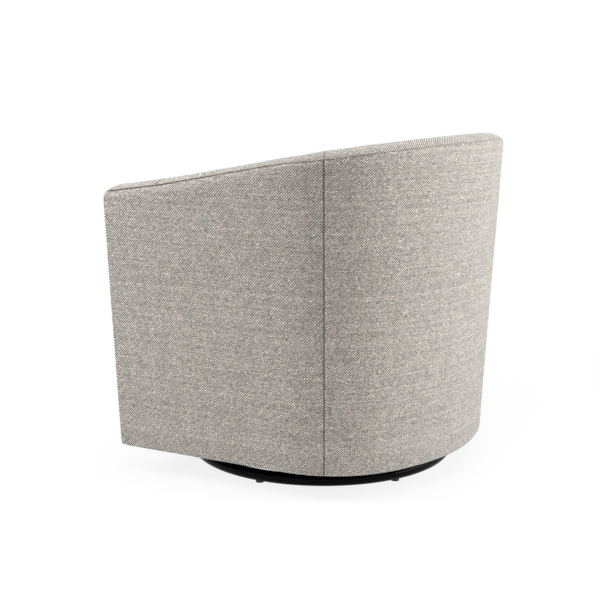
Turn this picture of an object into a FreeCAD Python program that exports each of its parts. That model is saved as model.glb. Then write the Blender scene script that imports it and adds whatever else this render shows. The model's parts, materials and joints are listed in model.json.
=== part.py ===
"""Swivel rocker: an upholstered tub chair on a low round tube base.

Millimetres, +Z up, the sitter faces -Y. Shapes are worked out from the swivel axis at x = y = 0,
then moved so that the origin is the middle of the whole chair's footprint, on the floor.
"""

import FreeCAD
import Part
import math
import os
from collections import namedtuple

V = FreeCAD.Vector
UP = V(0, 0, 1)
ALONG_X = V(1, 0, 0)
ALONG_Y = V(0, 1, 0)

# The U of the body: straight arms, a corner arc and a wide back arc, mirrored about x = 0. The corner
# arc turns by the same angle at every height, so walls ruled between any two heights agree.
Outline = namedtuple("Outline", "half_width back corner_r")
corner_turn = math.radians(58.0)
low_height = 53.0
top_height = 714.0
body_half_width = 399.0
body_back = 386.0
side_flare = 47.0
back_lean = 33.0
arm_wall_low = 107.0
arm_wall_top = 80.0
back_wall_low = 138.0
back_wall_top = 80.0
outer_low = Outline(body_half_width - side_flare, body_back - back_lean, corner_r=227.0)
outer_top = Outline(body_half_width, body_back, corner_r=225.0)
inner_low = Outline(outer_low.half_width - arm_wall_low, outer_low.back - back_wall_low, corner_r=150.0)
inner_top = Outline(outer_top.half_width - arm_wall_top, outer_top.back - back_wall_top, corner_r=145.0)
arm_front_y = -308.0

# Stations count along the U: 0 right arm front, 1 and 2 the ends of the corner arc, 3 back centre,
# 6 left arm front.
last_station = 6.0
seam_station = 1.385
tip_station = 0.30
station_reach = 0.04

# The crest, seen from the side: three straight slopes.
crest_front = 615.0
crest_bend_y = -166.0
crest_kink_y = 180.0
tip_slope = 0.134
arm_slope = 0.176
back_slope = 0.153
crest_reach = 60.0
cut_margin = 30.0
crest_round = 13.0
contact = 0.01
band_depth = 16.0

# Layers of the wall, from outside in.
cover = 6.0
soft_gap = 0.3
board = 3.0
frame_thickness = 22.0
web_thickness = 1.8
rail_thickness = 20.0
lip_width = 28.0
lip_thickness = 3.0

# Wooden frame, heights above the floor.
hoop_height = 40.0
mechanism_rail_height = 50.0
mechanism_rail_width = 40.0
mechanism_rail_y = 90.0
side_rail_height = 70.0
side_rail_stations = (0.08, 1.6)
seat_rail_height = 50.0
seat_rail_gap = 13.2
seat_rail_back_station = 1.2
top_rail_thickness = 18.0
top_rail_width = 61.0
front_post_depth = 45.0
arm_post_station = 0.74
arm_post_half_span = 0.05
seam_post_half_span = 0.10
back_post_station = 2.60
back_post_half_span = 0.10

# Seat springs, deck and cushion.
seat_spring_wire = 3.6
seat_spring_count = 5
seat_spring_pitch = 88.0
seat_spring_width = 44.0
seat_spring_loop_r = 12.0
clip_size = (18.0, 14.0)
deck_thickness = 9.0
deck_inset = 1.0
cushion_thickness = 150.0
cushion_front_y = -301.0
cushion_side_gap = 1.0
cushion_corner_r = 28.0
cushion_skin = 3.0
# Share of the cushion's height, how far its side is drawn in there, corner radius factor.
cushion_sections = ((0.0, 15.0, 1.0), (0.10, 4.0, 1.0), (0.40, 0.0, 1.0), (0.68, 2.0, 1.0),
                    (0.85, 13.0, 1.0), (0.95, 51.0, 1.4), (1.0, 117.0, 2.2))
webbing_station = 0.05
webbing_band = 50.0
webbing_gap = 30.0
webbing_above_deck = 52.0
webbing_below_rail = 15.7

# Base ring and its glides.
ring_r = 283.5
tube_r = 12.5
tube_wall = 1.5
ring_lift = 2.0
glide_count = 6
glide_r = 9.0
glide_height = 6.0
glide_stem_r = 4.0
spoke_width = 30.0
spoke_height = 15.0
spoke_wall = 2.0
spoke_start = 30.0
spoke_count = 4
first_spoke_deg = 45.0

# Hub, ball race and kingpin.
hub_r = 115.0
hub_thickness = 5.0
race_r = 110.0
race_plate = 3.0
track_r = 90.0
track_half_width = 12.0
track_height = 4.5
ball_r = 4.0
ball_count = 16
ball_clearance = 0.05
track_gap = 3.0
cage_thickness = 1.6
cage_half_width = 8.0
cage_clearance = 0.15
kingpin_r = 8.0
kingpin_flange_r = 14.0
kingpin_flange = 4.0
kingpin_tip = 2.0
bush_wall = 3.0
running_fit = 0.08
seat_fit = 0.05
washer_r = 16.0
washer_thickness = 2.0
kingpin_nut_across = 24.0
kingpin_nut_height = 8.0
running_gap = 0.3

# Rocker mechanism.
bracket_half_x = 100.0
bracket_half_y = 108.0
bracket_plate = 4.0
pivot_height = 100.0
pivot_r = 8.0
ear_r = 17.0
ear_foot_half = 45.0
ear_gap = 4.0
upper_plate = 5.0
upper_plate_height = 150.0
upper_half_x = 160.0
upper_half_y = 115.0
shaft_overhang = 8.0
clip_thickness = 1.5
clip_r = 13.0
clip_mouth_half = 4.8
rock_limit_deg = 4.0
stop_length = 110.0
stop_width = 10.0
stop_height = 18.0
coil_x = 55.0
coil_y = 70.0
coil_wire_r = 3.0
coil_mean_r = 20.0
coil_turns = 6
coil_end_pitch = 7.2
cup_rim = 2.0
cup_boss_gap = 2.0
cup_thickness = 3.0
cup_boss_height = 9.0
bush_flange_r = 14.0
bush_flange = 1.5

# Fasteners.
m6_r = 3.0
m6_across = 10.0
m6_head = 4.0
m6_nut = 4.6
m6_thin_nut = 3.6
thread_past_nut = 1.0
m8_r = 4.0
m8_across = 13.0
m8_head = 5.3
m8_length = 45.0
hole_clearance = 0.1
plate_bolt_count = 4
race_bolt_circle = 65.0
head_bolt_deg = 45.0
bolt_cup_gap = 3.3
mechanism_bolt_x = 130.0

# Cloth underneath.
dust_cover_thickness = 1.0
dust_cover_inset = 14.0
dust_cover_hole_r = 172.0

# Heights that follow from the sizes above.
origin_y = (arm_front_y + outer_top.back) / 2
ring_axis_height = ring_lift + tube_r
spoke_bottom = ring_axis_height - spoke_height / 2
hub_bottom = spoke_bottom + spoke_height
race_bottom = hub_bottom + hub_thickness
ball_height = race_bottom + race_plate + track_height + track_gap / 2
upper_race_bottom = ball_height + track_gap / 2
upper_race_plate = upper_race_bottom + track_height
bracket_bottom = upper_race_plate + race_plate
bracket_top = bracket_bottom + bracket_plate
frame_outer = cover + soft_gap + board + soft_gap
frame_inner = frame_outer + frame_thickness
rail_outer = frame_inner + soft_gap
rail_inner = rail_outer + rail_thickness
pad_outer = frame_inner + 2 * soft_gap + web_thickness
hoop_bottom = low_height + lip_thickness + soft_gap
rail_bottom = upper_plate_height + upper_plate + soft_gap
seat_rail_top = rail_bottom + side_rail_height + seat_rail_gap + seat_rail_height
seat_spring_height = seat_rail_top + soft_gap + seat_spring_wire / 2
deck_bottom = seat_spring_height + seat_spring_wire / 2 + 2 * soft_gap
cushion_bottom = deck_bottom + deck_thickness + soft_gap
front_face_y = arm_front_y + cover + soft_gap
above_crest = top_height + crest_reach
rail_drop = band_depth + soft_gap
top_rail_low = crest_front - rail_drop - 3 * top_rail_thickness
band_low = crest_front - 2 * band_depth
cup_r = coil_mean_r + coil_wire_r + cup_rim
cup_boss_r = coil_mean_r - coil_wire_r - cup_boss_gap


def mix(low, top, share):
    """Outline part of the way from one outline to another."""
    return Outline(*[a + (b - a) * share for a, b in zip(low, top)])


def shrink(outline, inset):
    """Outline moved inwards by the same distance all round."""
    return Outline(*[size - inset for size in outline])


def outer(height, inset=0.0):
    """Outside face of the body at a height, moved in by inset."""
    share = (height - low_height) / (top_height - low_height)
    return shrink(mix(outer_low, outer_top, share), inset)


def inner(height, inset=0.0):
    """Inside face of the arms and back at a height, moved into the room of the seat by inset."""
    share = (height - low_height) / (top_height - low_height)
    return shrink(mix(inner_low, inner_top, share), inset)


def back_radius(outline):
    """Radius of the back arc, which the corner arc runs into without a kink."""
    return outline.corner_r + (outline.half_width - outline.corner_r) / math.cos(corner_turn)


def outline_arcs(outline):
    """Centre of the corner arc and centre height of the back arc."""
    corner_x = outline.half_width - outline.corner_r
    back_y = outline.back - back_radius(outline)
    return corner_x, back_y + corner_x * math.tan(corner_turn), back_y


def station_point(outline, station, height, front_y):
    """Point on the U at a station."""
    if station > last_station / 2:
        mirrored = station_point(outline, last_station - station, height, front_y)
        return V(-mirrored.x, mirrored.y, mirrored.z)
    corner_x, corner_y, back_y = outline_arcs(outline)
    if station <= 1:
        return V(outline.half_width, front_y + (corner_y - front_y) * station, height)
    if station <= 2:
        angle = corner_turn * (station - 1)
        x = corner_x + outline.corner_r * math.cos(angle)
        return V(x, corner_y + outline.corner_r * math.sin(angle), height)
    angle = corner_turn + (math.pi / 2 - corner_turn) * (station - 2)
    back_r = back_radius(outline)
    return V(back_r * math.cos(angle), back_y + back_r * math.sin(angle), height)


def outline_edges(outline, height, begin, end, front_y):
    """Lines and arcs of the U from one station to another."""
    stops = [begin] + [float(n) for n in range(7) if begin < n < end] + [end]
    edges = []
    for first, second in zip(stops, stops[1:]):
        start = station_point(outline, first, height, front_y)
        finish = station_point(outline, second, height, front_y)
        middle = station_point(outline, (first + second) / 2, height, front_y)
        straight = second <= 1 or first >= last_station - 1
        curve = Part.LineSegment(start, finish) if straight else Part.Arc(start, middle, finish)
        edges.append(curve.toShape())
    return edges


def wall_wire(outside, inside, height, begin, end, front_y):
    """Closed wire round the wall between two outlines at one height."""
    out_edges = outline_edges(outside, height, begin, end, front_y)
    in_edges = outline_edges(inside, height, begin, end, front_y)
    cap = Part.LineSegment(out_edges[-1].lastVertex().Point, in_edges[-1].lastVertex().Point).toShape()
    foot = Part.LineSegment(in_edges[0].firstVertex().Point, out_edges[0].firstVertex().Point).toShape()
    return Part.Wire(Part.__sortEdges__(out_edges + [cap] + in_edges[::-1] + [foot]))


def wall(outside, inside, bottom, top, begin=0.0, end=last_station, front_y=front_face_y):
    """Solid wall between two face functions, ruled from its bottom to its top height."""
    wires = [wall_wire(outside(z), inside(z), z, begin, end, front_y) for z in (bottom, top)]
    return Part.makeLoft(wires, True, True)


def layer(near, far, bottom, top, begin=0.0, end=last_station, front_y=front_face_y):
    """Wall between two depths under the outside face."""
    return wall(lambda z: outer(z, near), lambda z: outer(z, far), bottom, top, begin, end, front_y)


def closed_wire(outline, height, front_y, corner_r):
    """Whole plan of a seat: the U closed across the front with two rounded corners."""
    side_y = front_y + corner_r
    edges = outline_edges(outline, height, 0.0, last_station, side_y)
    half = outline.half_width
    bend = corner_r * (1 - math.sqrt(0.5))
    left = Part.Arc(V(-half, side_y, height), V(-half + bend, front_y + bend, height),
                    V(-half + corner_r, front_y, height))
    front = Part.LineSegment(V(-half + corner_r, front_y, height), V(half - corner_r, front_y, height))
    right = Part.Arc(V(half - corner_r, front_y, height), V(half - bend, front_y + bend, height),
                     V(half, side_y, height))
    return Part.Wire(Part.__sortEdges__(edges + [left.toShape(), front.toShape(), right.toShape()]))


def room(face, bottom, top, front_y, corner_r=1.0):
    """Solid that fills the plan inside a face from one height to another."""
    wires = [closed_wire(face(z), z, front_y, corner_r) for z in (bottom, top)]
    return Part.makeLoft(wires, True, True)


def crest_height(y):
    """Height of the crest above the floor at a depth."""
    height = crest_front + tip_slope * (min(y, crest_bend_y) - arm_front_y)
    height += arm_slope * max(0.0, min(y, crest_kink_y) - crest_bend_y)
    return height + back_slope * max(0.0, y - crest_kink_y)


def under_crest(drop):
    """Everything below a surface that runs parallel to the crest, drop below it."""
    nearest = arm_front_y - crest_reach
    farthest = outer_top.back + crest_reach
    stops = [nearest, crest_bend_y, crest_kink_y, farthest]
    half = outer_top.half_width + crest_reach
    line = [V(-half, y, crest_height(y) - drop) for y in stops]
    corners = [V(-half, nearest, 0)] + line + [V(-half, farthest, 0), V(-half, nearest, 0)]
    return Part.Face(Part.makePolygon(corners)).extrude(V(2 * half, 0, 0))


def box(x0, x1, y0, y1, z0, z1):
    """Box between two corners."""
    return Part.makeBox(x1 - x0, y1 - y0, z1 - z0, V(x0, y0, z0))


def mirror_x(shape):
    """The same shape on the other side of the chair."""
    return shape.mirror(V(0, 0, 0), ALONG_X)


def tube(radius, bore, bottom, top, centre=(0.0, 0.0)):
    """Upright cylinder, with a bore when one is given."""
    place = V(centre[0], centre[1], bottom)
    body = Part.makeCylinder(radius, top - bottom, place)
    return body.cut(Part.makeCylinder(bore, top - bottom, place)) if bore else body


def cross_tube(radius, bore, x0, x1):
    """Cylinder along the rocking axis, with a bore when one is given."""
    place = V(x0, 0, pivot_height)
    body = Part.makeCylinder(radius, x1 - x0, place, ALONG_X)
    return body.cut(Part.makeCylinder(bore, x1 - x0, place, ALONG_X)) if bore else body


def hexagon(across, bottom, top, centre):
    """Upright hexagonal prism."""
    circle = across / math.sqrt(3)
    turns = [math.radians(60 * n) for n in range(7)]
    x, y = centre
    corners = [V(x + circle * math.cos(a), y + circle * math.sin(a), bottom) for a in turns]
    return Part.Face(Part.makePolygon(corners)).extrude(V(0, 0, top - bottom))


def circle_places(radius, count, first_deg):
    """Points spread evenly round the swivel axis."""
    turns = [math.radians(first_deg + 360 * n / count) for n in range(count)]
    return [(radius * math.cos(a), radius * math.sin(a)) for a in turns]


def glide_places():
    """Where the feet stand under the ring."""
    return circle_places(ring_r, glide_count, 0)


def race_bolt_places():
    """Where the lower race is bolted to the hub plate."""
    return circle_places(race_bolt_circle, plate_bolt_count, 0)


def head_bolt_places():
    """Where the upper race is bolted to the lower bracket, with the heads clear of the spring cups."""
    apart = cup_r + m6_across / math.sqrt(3) + bolt_cup_gap
    reach = coil_x + coil_y
    aside = (reach - math.sqrt(2 * apart ** 2 - (coil_y - coil_x) ** 2)) / 2
    return circle_places(aside * math.sqrt(2), plate_bolt_count, head_bolt_deg)


def drill(body, radius, places, bottom, top):
    """Upright holes through a body."""
    for place in places:
        body = body.cut(tube(radius, 0, bottom, top, place))
    return body


def save(name, shape):
    """Writes one node, moved from the swivel axis to the chair's own origin."""
    solids = shape if isinstance(shape, list) else [shape]
    solids = [solid for item in solids for solid in item.Solids]
    for solid in solids:
        assert solid.isValid() and solid.Volume > 0, name
    node = solids[0] if len(solids) == 1 else Part.makeCompound(solids)
    node = node.copy()
    node.translate(V(0, -origin_y, 0))
    node.exportStep("parts/" + name + ".step")
    print(name, len(solids), "solids", round(sum(s.Volume for s in solids) / 1000, 1), "cm3")


def base_ring():
    """Round tube ring with a hole under it for each glide's stem."""
    centre = V(0, 0, ring_axis_height)
    ring = Part.makeTorus(ring_r, tube_r, centre, UP)
    ring = ring.cut(Part.makeTorus(ring_r, tube_r - tube_wall, centre, UP))
    return drill(ring, glide_stem_r + seat_fit, glide_places(), 0, ring_axis_height)


def base_glides():
    """Plastic feet with a stem in the tube and a top that cups it."""
    ring = Part.makeTorus(ring_r, tube_r + seat_fit, V(0, 0, ring_axis_height), UP)
    glides = []
    for place in glide_places():
        pad = tube(glide_r, 0, 0, glide_height, place).cut(ring)
        stem = tube(glide_stem_r, 0, ring_lift / 2, ring_lift + tube_wall + glide_stem_r, place)
        glides.append(pad.fuse(stem).removeSplitter())
    return glides


def base_spokes():
    """Rectangular tubes from the hub out to the ring, coped to fit it."""
    ring = Part.makeTorus(ring_r, tube_r + 2 * seat_fit, V(0, 0, ring_axis_height), UP)
    half = spoke_width / 2
    top = spoke_bottom + spoke_height
    spoke = box(spoke_start, ring_r, -half, half, spoke_bottom, top)
    bore = box(spoke_start, ring_r, spoke_wall - half, half - spoke_wall,
               spoke_bottom + spoke_wall, top - spoke_wall)
    spoke = spoke.cut(bore).cut(ring)
    spoke = max(spoke.Solids, key=lambda solid: solid.Volume)
    spokes = []
    for n in range(spoke_count):
        turned = spoke.copy()
        turned.rotate(V(0, 0, 0), UP, first_spoke_deg + 360 * n / spoke_count)
        spokes.append(turned)
    return spokes


def hub_plate():
    """Disc welded on the spokes."""
    plate = tube(hub_r, kingpin_r + seat_fit, hub_bottom, race_bottom)
    return drill(plate, m6_r + hole_clearance, race_bolt_places(), hub_bottom, race_bottom)


def race(plate_bottom, track_bottom, bore, bolt_places):
    """Pressed disc with a raised track, grooved for the balls."""
    plate = tube(race_r, bore, plate_bottom, plate_bottom + race_plate)
    track = tube(track_r + track_half_width, track_r - track_half_width,
                 track_bottom, track_bottom + track_height)
    groove = Part.makeTorus(track_r, ball_r + ball_clearance, V(0, 0, ball_height), UP)
    body = plate.fuse(track).cut(groove).removeSplitter()
    return drill(body, m6_r + hole_clearance, bolt_places, plate_bottom, plate_bottom + race_plate)


def bolts_with_nuts(places, nut_bottom, nut_top, head_bottom):
    """M6 bolts with the head on top and a nut below, as separate pieces."""
    pieces = []
    for place in places:
        head = hexagon(m6_across, head_bottom, head_bottom + m6_head, place)
        shank = tube(m6_r, 0, nut_bottom - thread_past_nut, head_bottom + m6_head / 2, place)
        nut = hexagon(m6_across, nut_bottom, nut_top, place).cut(
            tube(m6_r + seat_fit, 0, nut_bottom, nut_top, place))
        pieces += [head.fuse(shank).removeSplitter(), nut]
    return pieces


def kingpin():
    """Centre pin that holds the two halves of the swivel together."""
    flange = tube(kingpin_flange_r, 0, hub_bottom - kingpin_flange, hub_bottom)
    nut_bottom = bracket_top + running_gap + washer_thickness
    tip = nut_bottom + kingpin_nut_height + kingpin_tip
    shank = tube(kingpin_r, 0, hub_bottom - kingpin_flange / 2, tip)
    return flange.fuse(shank).removeSplitter()


def kingpin_washer():
    """Thrust washer over the swivelling bracket."""
    bottom = bracket_top + running_gap
    return tube(washer_r, kingpin_r + seat_fit, bottom, bottom + washer_thickness)


def kingpin_nut():
    """Nut on the centre pin."""
    bottom = bracket_top + running_gap + washer_thickness
    nut = hexagon(kingpin_nut_across, bottom, bottom + kingpin_nut_height, (0, 0))
    return nut.cut(tube(kingpin_r + seat_fit, 0, bottom, bottom + kingpin_nut_height))


def ball_cage():
    """Plastic ring with a pocket for each ball."""
    half = cage_thickness / 2
    cage = tube(track_r + cage_half_width, track_r - cage_half_width,
                ball_height - half, ball_height + half)
    places = circle_places(track_r, ball_count, 0)
    return drill(cage, ball_r + cage_clearance, places, ball_height - half, ball_height + half)


def bearing_balls():
    """Steel balls between the two tracks."""
    places = circle_places(track_r, ball_count, 0)
    return [Part.makeSphere(ball_r, V(x, y, ball_height)) for x, y in places]


def ear(x0, x1, foot_height, hole_r):
    """Upright plate that narrows from its foot to a round eye at the rocking axis."""
    toward = 1 if foot_height > pivot_height else -1
    foot = [V(x0, -ear_foot_half, foot_height), V(x0, ear_foot_half, foot_height)]
    tip = [V(x0, ear_r, pivot_height), V(x0, 0, pivot_height - toward * ear_r),
           V(x0, -ear_r, pivot_height)]
    sides = [Part.LineSegment(tip[2], foot[0]).toShape(), Part.LineSegment(foot[0], foot[1]).toShape(),
             Part.LineSegment(foot[1], tip[0]).toShape(), Part.Arc(*tip).toShape()]
    plate = Part.Face(Part.Wire(Part.__sortEdges__(sides))).extrude(V(x1 - x0, 0, 0))
    return plate.cut(cross_tube(hole_r, 0, x0, x1))


def rocker_lower_bracket():
    """Folded steel plate on the swivel: two ears for the shaft and two upstands for the stops."""
    plate = box(-bracket_half_x, bracket_half_x, -bracket_half_y, bracket_half_y,
                bracket_bottom, bracket_top)
    stop_foot = stop_top() - stop_height
    right = ear(bracket_half_x - bracket_plate, bracket_half_x, bracket_bottom, pivot_r + seat_fit)
    upstand = box(-stop_length / 2, stop_length / 2, bracket_half_y - bracket_plate, bracket_half_y,
                  bracket_bottom, stop_foot + stop_height / 2)
    body = plate.fuse([right, mirror_x(right), upstand, upstand.mirror(V(0, 0, 0), ALONG_Y)])
    body = body.removeSplitter()
    body = body.cut(tube(kingpin_r + bush_wall + seat_fit, 0, bracket_bottom, bracket_top))
    return drill(body, m6_r + hole_clearance, head_bolt_places(), bracket_bottom, bracket_top)


def stop_top():
    """Height of the rubber stops: the upper plate meets them at the end of the rock."""
    tilt = math.radians(rock_limit_deg)
    rise = upper_plate_height - pivot_height
    reach = bracket_half_y + (stop_width - bracket_plate) / 2
    return pivot_height + rise / math.cos(tilt) - reach * math.tan(tilt) - soft_gap


def rubber_stops():
    """Rubber strips pushed over the two upstands."""
    top = stop_top()
    middle = bracket_half_y - bracket_plate / 2
    strip = box(-stop_length / 2, stop_length / 2, middle - stop_width / 2, middle + stop_width / 2,
                top - stop_height, top)
    slot = box(-stop_length / 2, stop_length / 2, middle - bracket_plate / 2 - seat_fit,
               middle + bracket_plate / 2 + seat_fit, top - stop_height, top - stop_height / 2 + seat_fit)
    strip = strip.cut(slot)
    return [strip, strip.mirror(V(0, 0, 0), ALONG_Y)]


def rocker_upper_bracket():
    """Steel plate under the seat rails with two ears that hang on the shaft."""
    top = upper_plate_height + upper_plate
    plate = box(-upper_half_x, upper_half_x, -upper_half_y, upper_half_y, upper_plate_height, top)
    inside = bracket_half_x + ear_gap
    right = ear(inside, inside + bracket_plate, top, pivot_r + bush_wall + seat_fit)
    body = plate.fuse([right, mirror_x(right)]).removeSplitter()
    return drill(body, m8_r + hole_clearance, mechanism_bolt_places(), upper_plate_height, top)


def pivot_shaft():
    """Shaft that the chair rocks on."""
    reach = bracket_half_x + ear_gap + bracket_plate + shaft_overhang
    return cross_tube(pivot_r, 0, -reach, reach)


def pivot_bushes():
    """Flanged plastic bushes in the upper bracket's ears."""
    inside = bracket_half_x + ear_gap
    bore = pivot_r + running_fit
    face = inside - seat_fit
    sleeve = cross_tube(pivot_r + bush_wall, bore, face, inside + bracket_plate)
    flange = cross_tube(bush_flange_r, bore, face - bush_flange, face)
    bush = sleeve.fuse(flange).removeSplitter()
    return [bush, mirror_x(bush)]


def shaft_clips():
    """Open rings that keep the shaft from sliding out."""
    start = bracket_half_x + ear_gap + bracket_plate + shaft_overhang / 2
    clip = cross_tube(clip_r, pivot_r + seat_fit, start, start + clip_thickness)
    clip = clip.cut(box(start, start + clip_thickness, -clip_mouth_half, clip_mouth_half,
                        pivot_height, pivot_height + clip_r))
    return [clip, mirror_x(clip)]


def coil_point(turns, bottom, top):
    """Point and direction of the coil's centre line after some turns; the end turns lie flatter."""
    angle = 2 * math.pi * turns
    active = (top - bottom - 2 * coil_end_pitch) / (coil_turns - 2)
    middle = min(max(turns - 1, 0), coil_turns - 2)
    height = bottom + coil_end_pitch * (turns - middle) + active * middle
    ends = turns < 1 or turns > coil_turns - 1
    joins = turns in (1, coil_turns - 1)
    rate = coil_end_pitch if ends else active
    rate = (coil_end_pitch + active) / 2 if joins else rate
    point = V(coil_mean_r * math.cos(angle), coil_mean_r * math.sin(angle), height)
    around = 2 * math.pi * coil_mean_r
    way = V(-around * math.sin(angle), around * math.cos(angle), rate)
    return point, way.normalize()


def tangent_arc(start, control, finish):
    """Arc that leaves start and reaches finish along lines through control."""
    middle = (start + finish) * 0.5
    half_chord = start.distanceToPoint(middle)
    rise = control.distanceToPoint(middle)
    sag = half_chord * math.tan(math.atan2(rise, half_chord) / 2)
    return Part.Arc(start, middle + (control - middle) * (sag / rise), finish).toShape()


def biarc(start, out_way, finish, in_way):
    """Two arcs that join two points and take the directions given at both."""
    chord = finish - start
    ways = out_way + in_way
    a = 4 - ways.dot(ways)
    b = 2 * chord.dot(ways)
    reach = (-b + math.sqrt(b * b + 4 * a * chord.dot(chord))) / (2 * a)
    first = start + out_way * reach
    second = finish - in_way * reach
    join = (first + second) * 0.5
    return [tangent_arc(start, first, join), tangent_arc(join, second, finish)]


def coil():
    """One coil spring between the spring cups, standing on the rocker's centre line."""
    bottom = bracket_top + cup_thickness + coil_wire_r
    top = upper_plate_height - cup_thickness - coil_wire_r
    stops = [n / 4 for n in range(4 * coil_turns + 1)]
    ends = [coil_point(turns, bottom, top) for turns in stops]
    edges = []
    for (start, out_way), (finish, in_way) in zip(ends, ends[1:]):
        edges += biarc(start, out_way, finish, in_way)
    path = Part.Wire(edges)
    section = Part.Wire(Part.makeCircle(coil_wire_r, ends[0][0], ends[0][1]))
    body = path.makePipeShell([section], True, False)
    print("coil volume over section times length",
          round(body.Volume / (math.pi * coil_wire_r ** 2 * path.Length), 4))
    print("least gap between turns, mm", round(coil_end_pitch - 2 * coil_wire_r, 2))
    return body


def coil_places():
    """Where the four coil springs stand."""
    return [(x, y) for x in (-coil_x, coil_x) for y in (-coil_y, coil_y)]


def rock_springs():
    """Four coil springs, two ahead of the shaft and two behind it."""
    spring = coil()
    springs = []
    for x, y in coil_places():
        one = spring.copy()
        one.translate(V(x, y, 0))
        springs.append(one)
    return springs


def spring_cups(base_height, direction):
    """Round seats with a boss inside each coil."""
    cups = []
    for place in coil_places():
        face = base_height + direction * cup_thickness
        tip = base_height + direction * cup_boss_height
        plate = tube(cup_r, 0, min(base_height, face), max(base_height, face), place)
        boss = tube(cup_boss_r, 0, min(base_height, tip), max(base_height, tip), place)
        cups.append(plate.fuse(boss).removeSplitter())
    return cups


def mechanism_bolt_places():
    """Where the upper bracket is bolted to the two rails."""
    across = (-mechanism_bolt_x, mechanism_bolt_x)
    along = (-mechanism_rail_y, mechanism_rail_y)
    return [(x, y) for x in across for y in along]


def mechanism_bolts():
    """M8 bolts with their heads under the upper bracket."""
    bolts = []
    for place in mechanism_bolt_places():
        head = hexagon(m8_across, upper_plate_height - m8_head, upper_plate_height, place)
        shank = tube(m8_r, 0, upper_plate_height - m8_head / 2, upper_plate_height + m8_length, place)
        bolts.append(head.fuse(shank).removeSplitter())
    return bolts


def mechanism_rails():
    """Two hardwood rails across the chair, which the rocker is bolted to."""
    top = rail_bottom + mechanism_rail_height
    inside = room(lambda z: outer(z, rail_inner + soft_gap), rail_bottom, top, front_face_y)
    half = mechanism_rail_width / 2
    reach = outer_top.half_width
    rails = []
    for y in (-mechanism_rail_y, mechanism_rail_y):
        rail = box(-reach, reach, y - half, y + half, rail_bottom, top).common(inside)
        rails.append(drill(rail, m8_r + hole_clearance, mechanism_bolt_places(), rail_bottom, top))
    return rails


def side_rails():
    """Rails along both arms that carry the mechanism rails."""
    rail = layer(rail_outer, rail_inner, rail_bottom, rail_bottom + side_rail_height, *side_rail_stations)
    return [rail, mirror_x(rail)]


def hoop(begin, end):
    """Stretch of the plywood hoop round the bottom edge."""
    return layer(frame_outer, frame_inner, hoop_bottom, hoop_bottom + hoop_height, begin, end)


def front_rail(bottom, top):
    """Rail across the front between the two front posts."""
    inside = room(lambda z: outer(z, frame_inner + soft_gap), bottom, top, front_face_y)
    reach = outer_top.half_width
    return box(-reach, reach, front_face_y, front_face_y + frame_thickness, bottom, top).common(inside)


def seat_rail_back():
    """Curved rail behind the seat, from arm to arm."""
    return layer(rail_outer, rail_inner, seat_rail_top - seat_rail_height, seat_rail_top,
                 seat_rail_back_station, last_station - seat_rail_back_station)


def post(begin, end):
    """Upright between the bottom hoop and the top rail."""
    bottom = hoop_bottom + hoop_height + soft_gap
    upright = layer(frame_outer, frame_inner, bottom, above_crest, begin, end)
    return upright.common(under_crest(rail_drop + top_rail_thickness + soft_gap))


def front_posts():
    """Posts at the arm fronts, standing outside the ends of the front rails."""
    length = outline_arcs(outer(low_height))[1] - front_face_y
    right = post(0.0, front_post_depth / length)
    return [right, mirror_x(right)]


def arm_posts():
    """Posts halfway along the arms and at the vertical seams."""
    posts = []
    spans = ((arm_post_station, arm_post_half_span), (seam_station, seam_post_half_span))
    for station, half_span in spans:
        right = post(station - half_span, station + half_span)
        posts += [right, mirror_x(right)]
    return posts


def back_posts():
    """Two posts in the back."""
    right = post(back_post_station - back_post_half_span, back_post_station + back_post_half_span)
    return [right, mirror_x(right)]


def top_rail():
    """Plywood cap that follows the crest round arms and back, under the band."""
    slab = layer(frame_outer, frame_outer + top_rail_width, top_rail_low, above_crest)
    return slab.common(under_crest(rail_drop)).cut(under_crest(rail_drop + top_rail_thickness))


def pad(begin, end):
    """Foam and cover inside the arms and back, notched round the top rail."""
    body = wall(lambda z: outer(z, pad_outer), inner, deck_bottom, above_crest, begin, end)
    body = body.common(under_crest(rail_drop))
    notch = layer(frame_outer, frame_outer + top_rail_width + soft_gap, top_rail_low, above_crest,
                  front_y=arm_front_y)
    return body.cut(notch.cut(under_crest(rail_drop + top_rail_thickness + soft_gap)))


def cover_panel(begin, end):
    """Outside cover: cloth over wadding, turned in under the bottom hoop."""
    block = layer(0.0, lip_width, low_height, above_crest, begin, end).common(under_crest(rail_drop))
    hollow = layer(cover, lip_width + cut_margin, low_height + lip_thickness, above_crest,
                   begin - station_reach, end + station_reach)
    return block.cut(hollow)


def board_panel(begin, end):
    """Stiff board that the outside cover is stretched over."""
    sheet = layer(cover + soft_gap, cover + soft_gap + board, hoop_bottom, above_crest, begin, end)
    return sheet.common(under_crest(rail_drop + top_rail_thickness + soft_gap))


def arm_front():
    """Upright panel over the front of the right arm."""
    top = crest_height(arm_front_y) - rail_drop
    corners = [V(outer(low_height).half_width, arm_front_y, low_height),
               V(outer(top).half_width, arm_front_y, top),
               V(inner(top).half_width, arm_front_y, top),
               V(inner(low_height).half_width, arm_front_y, low_height)]
    face = Part.Face(Part.makePolygon(corners + corners[:1]))
    return face.extrude(V(0, cover, 0))


def front_panel():
    """Panel across the front, between the arms and under the cushion."""
    top = cushion_bottom - soft_gap
    low_x = inner(low_height).half_width - soft_gap
    top_x = inner(top).half_width - soft_gap
    y = arm_front_y + soft_gap
    corners = [V(-low_x, y, low_height), V(low_x, y, low_height), V(top_x, y, top), V(-top_x, y, top)]
    face = Part.Face(Part.makePolygon(corners + corners[:1]))
    return face.extrude(V(0, cover - soft_gap, 0))


def whole_band():
    """Padded band over the crest from arm front to arm front, with its top edges rounded."""
    body = wall(outer, inner, band_low, above_crest, front_y=arm_front_y)
    body = body.common(under_crest(0.0)).cut(under_crest(band_depth))
    return body.makeFillet(crest_round, [edge for edge in body.Edges if is_top_edge(edge)])


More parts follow.
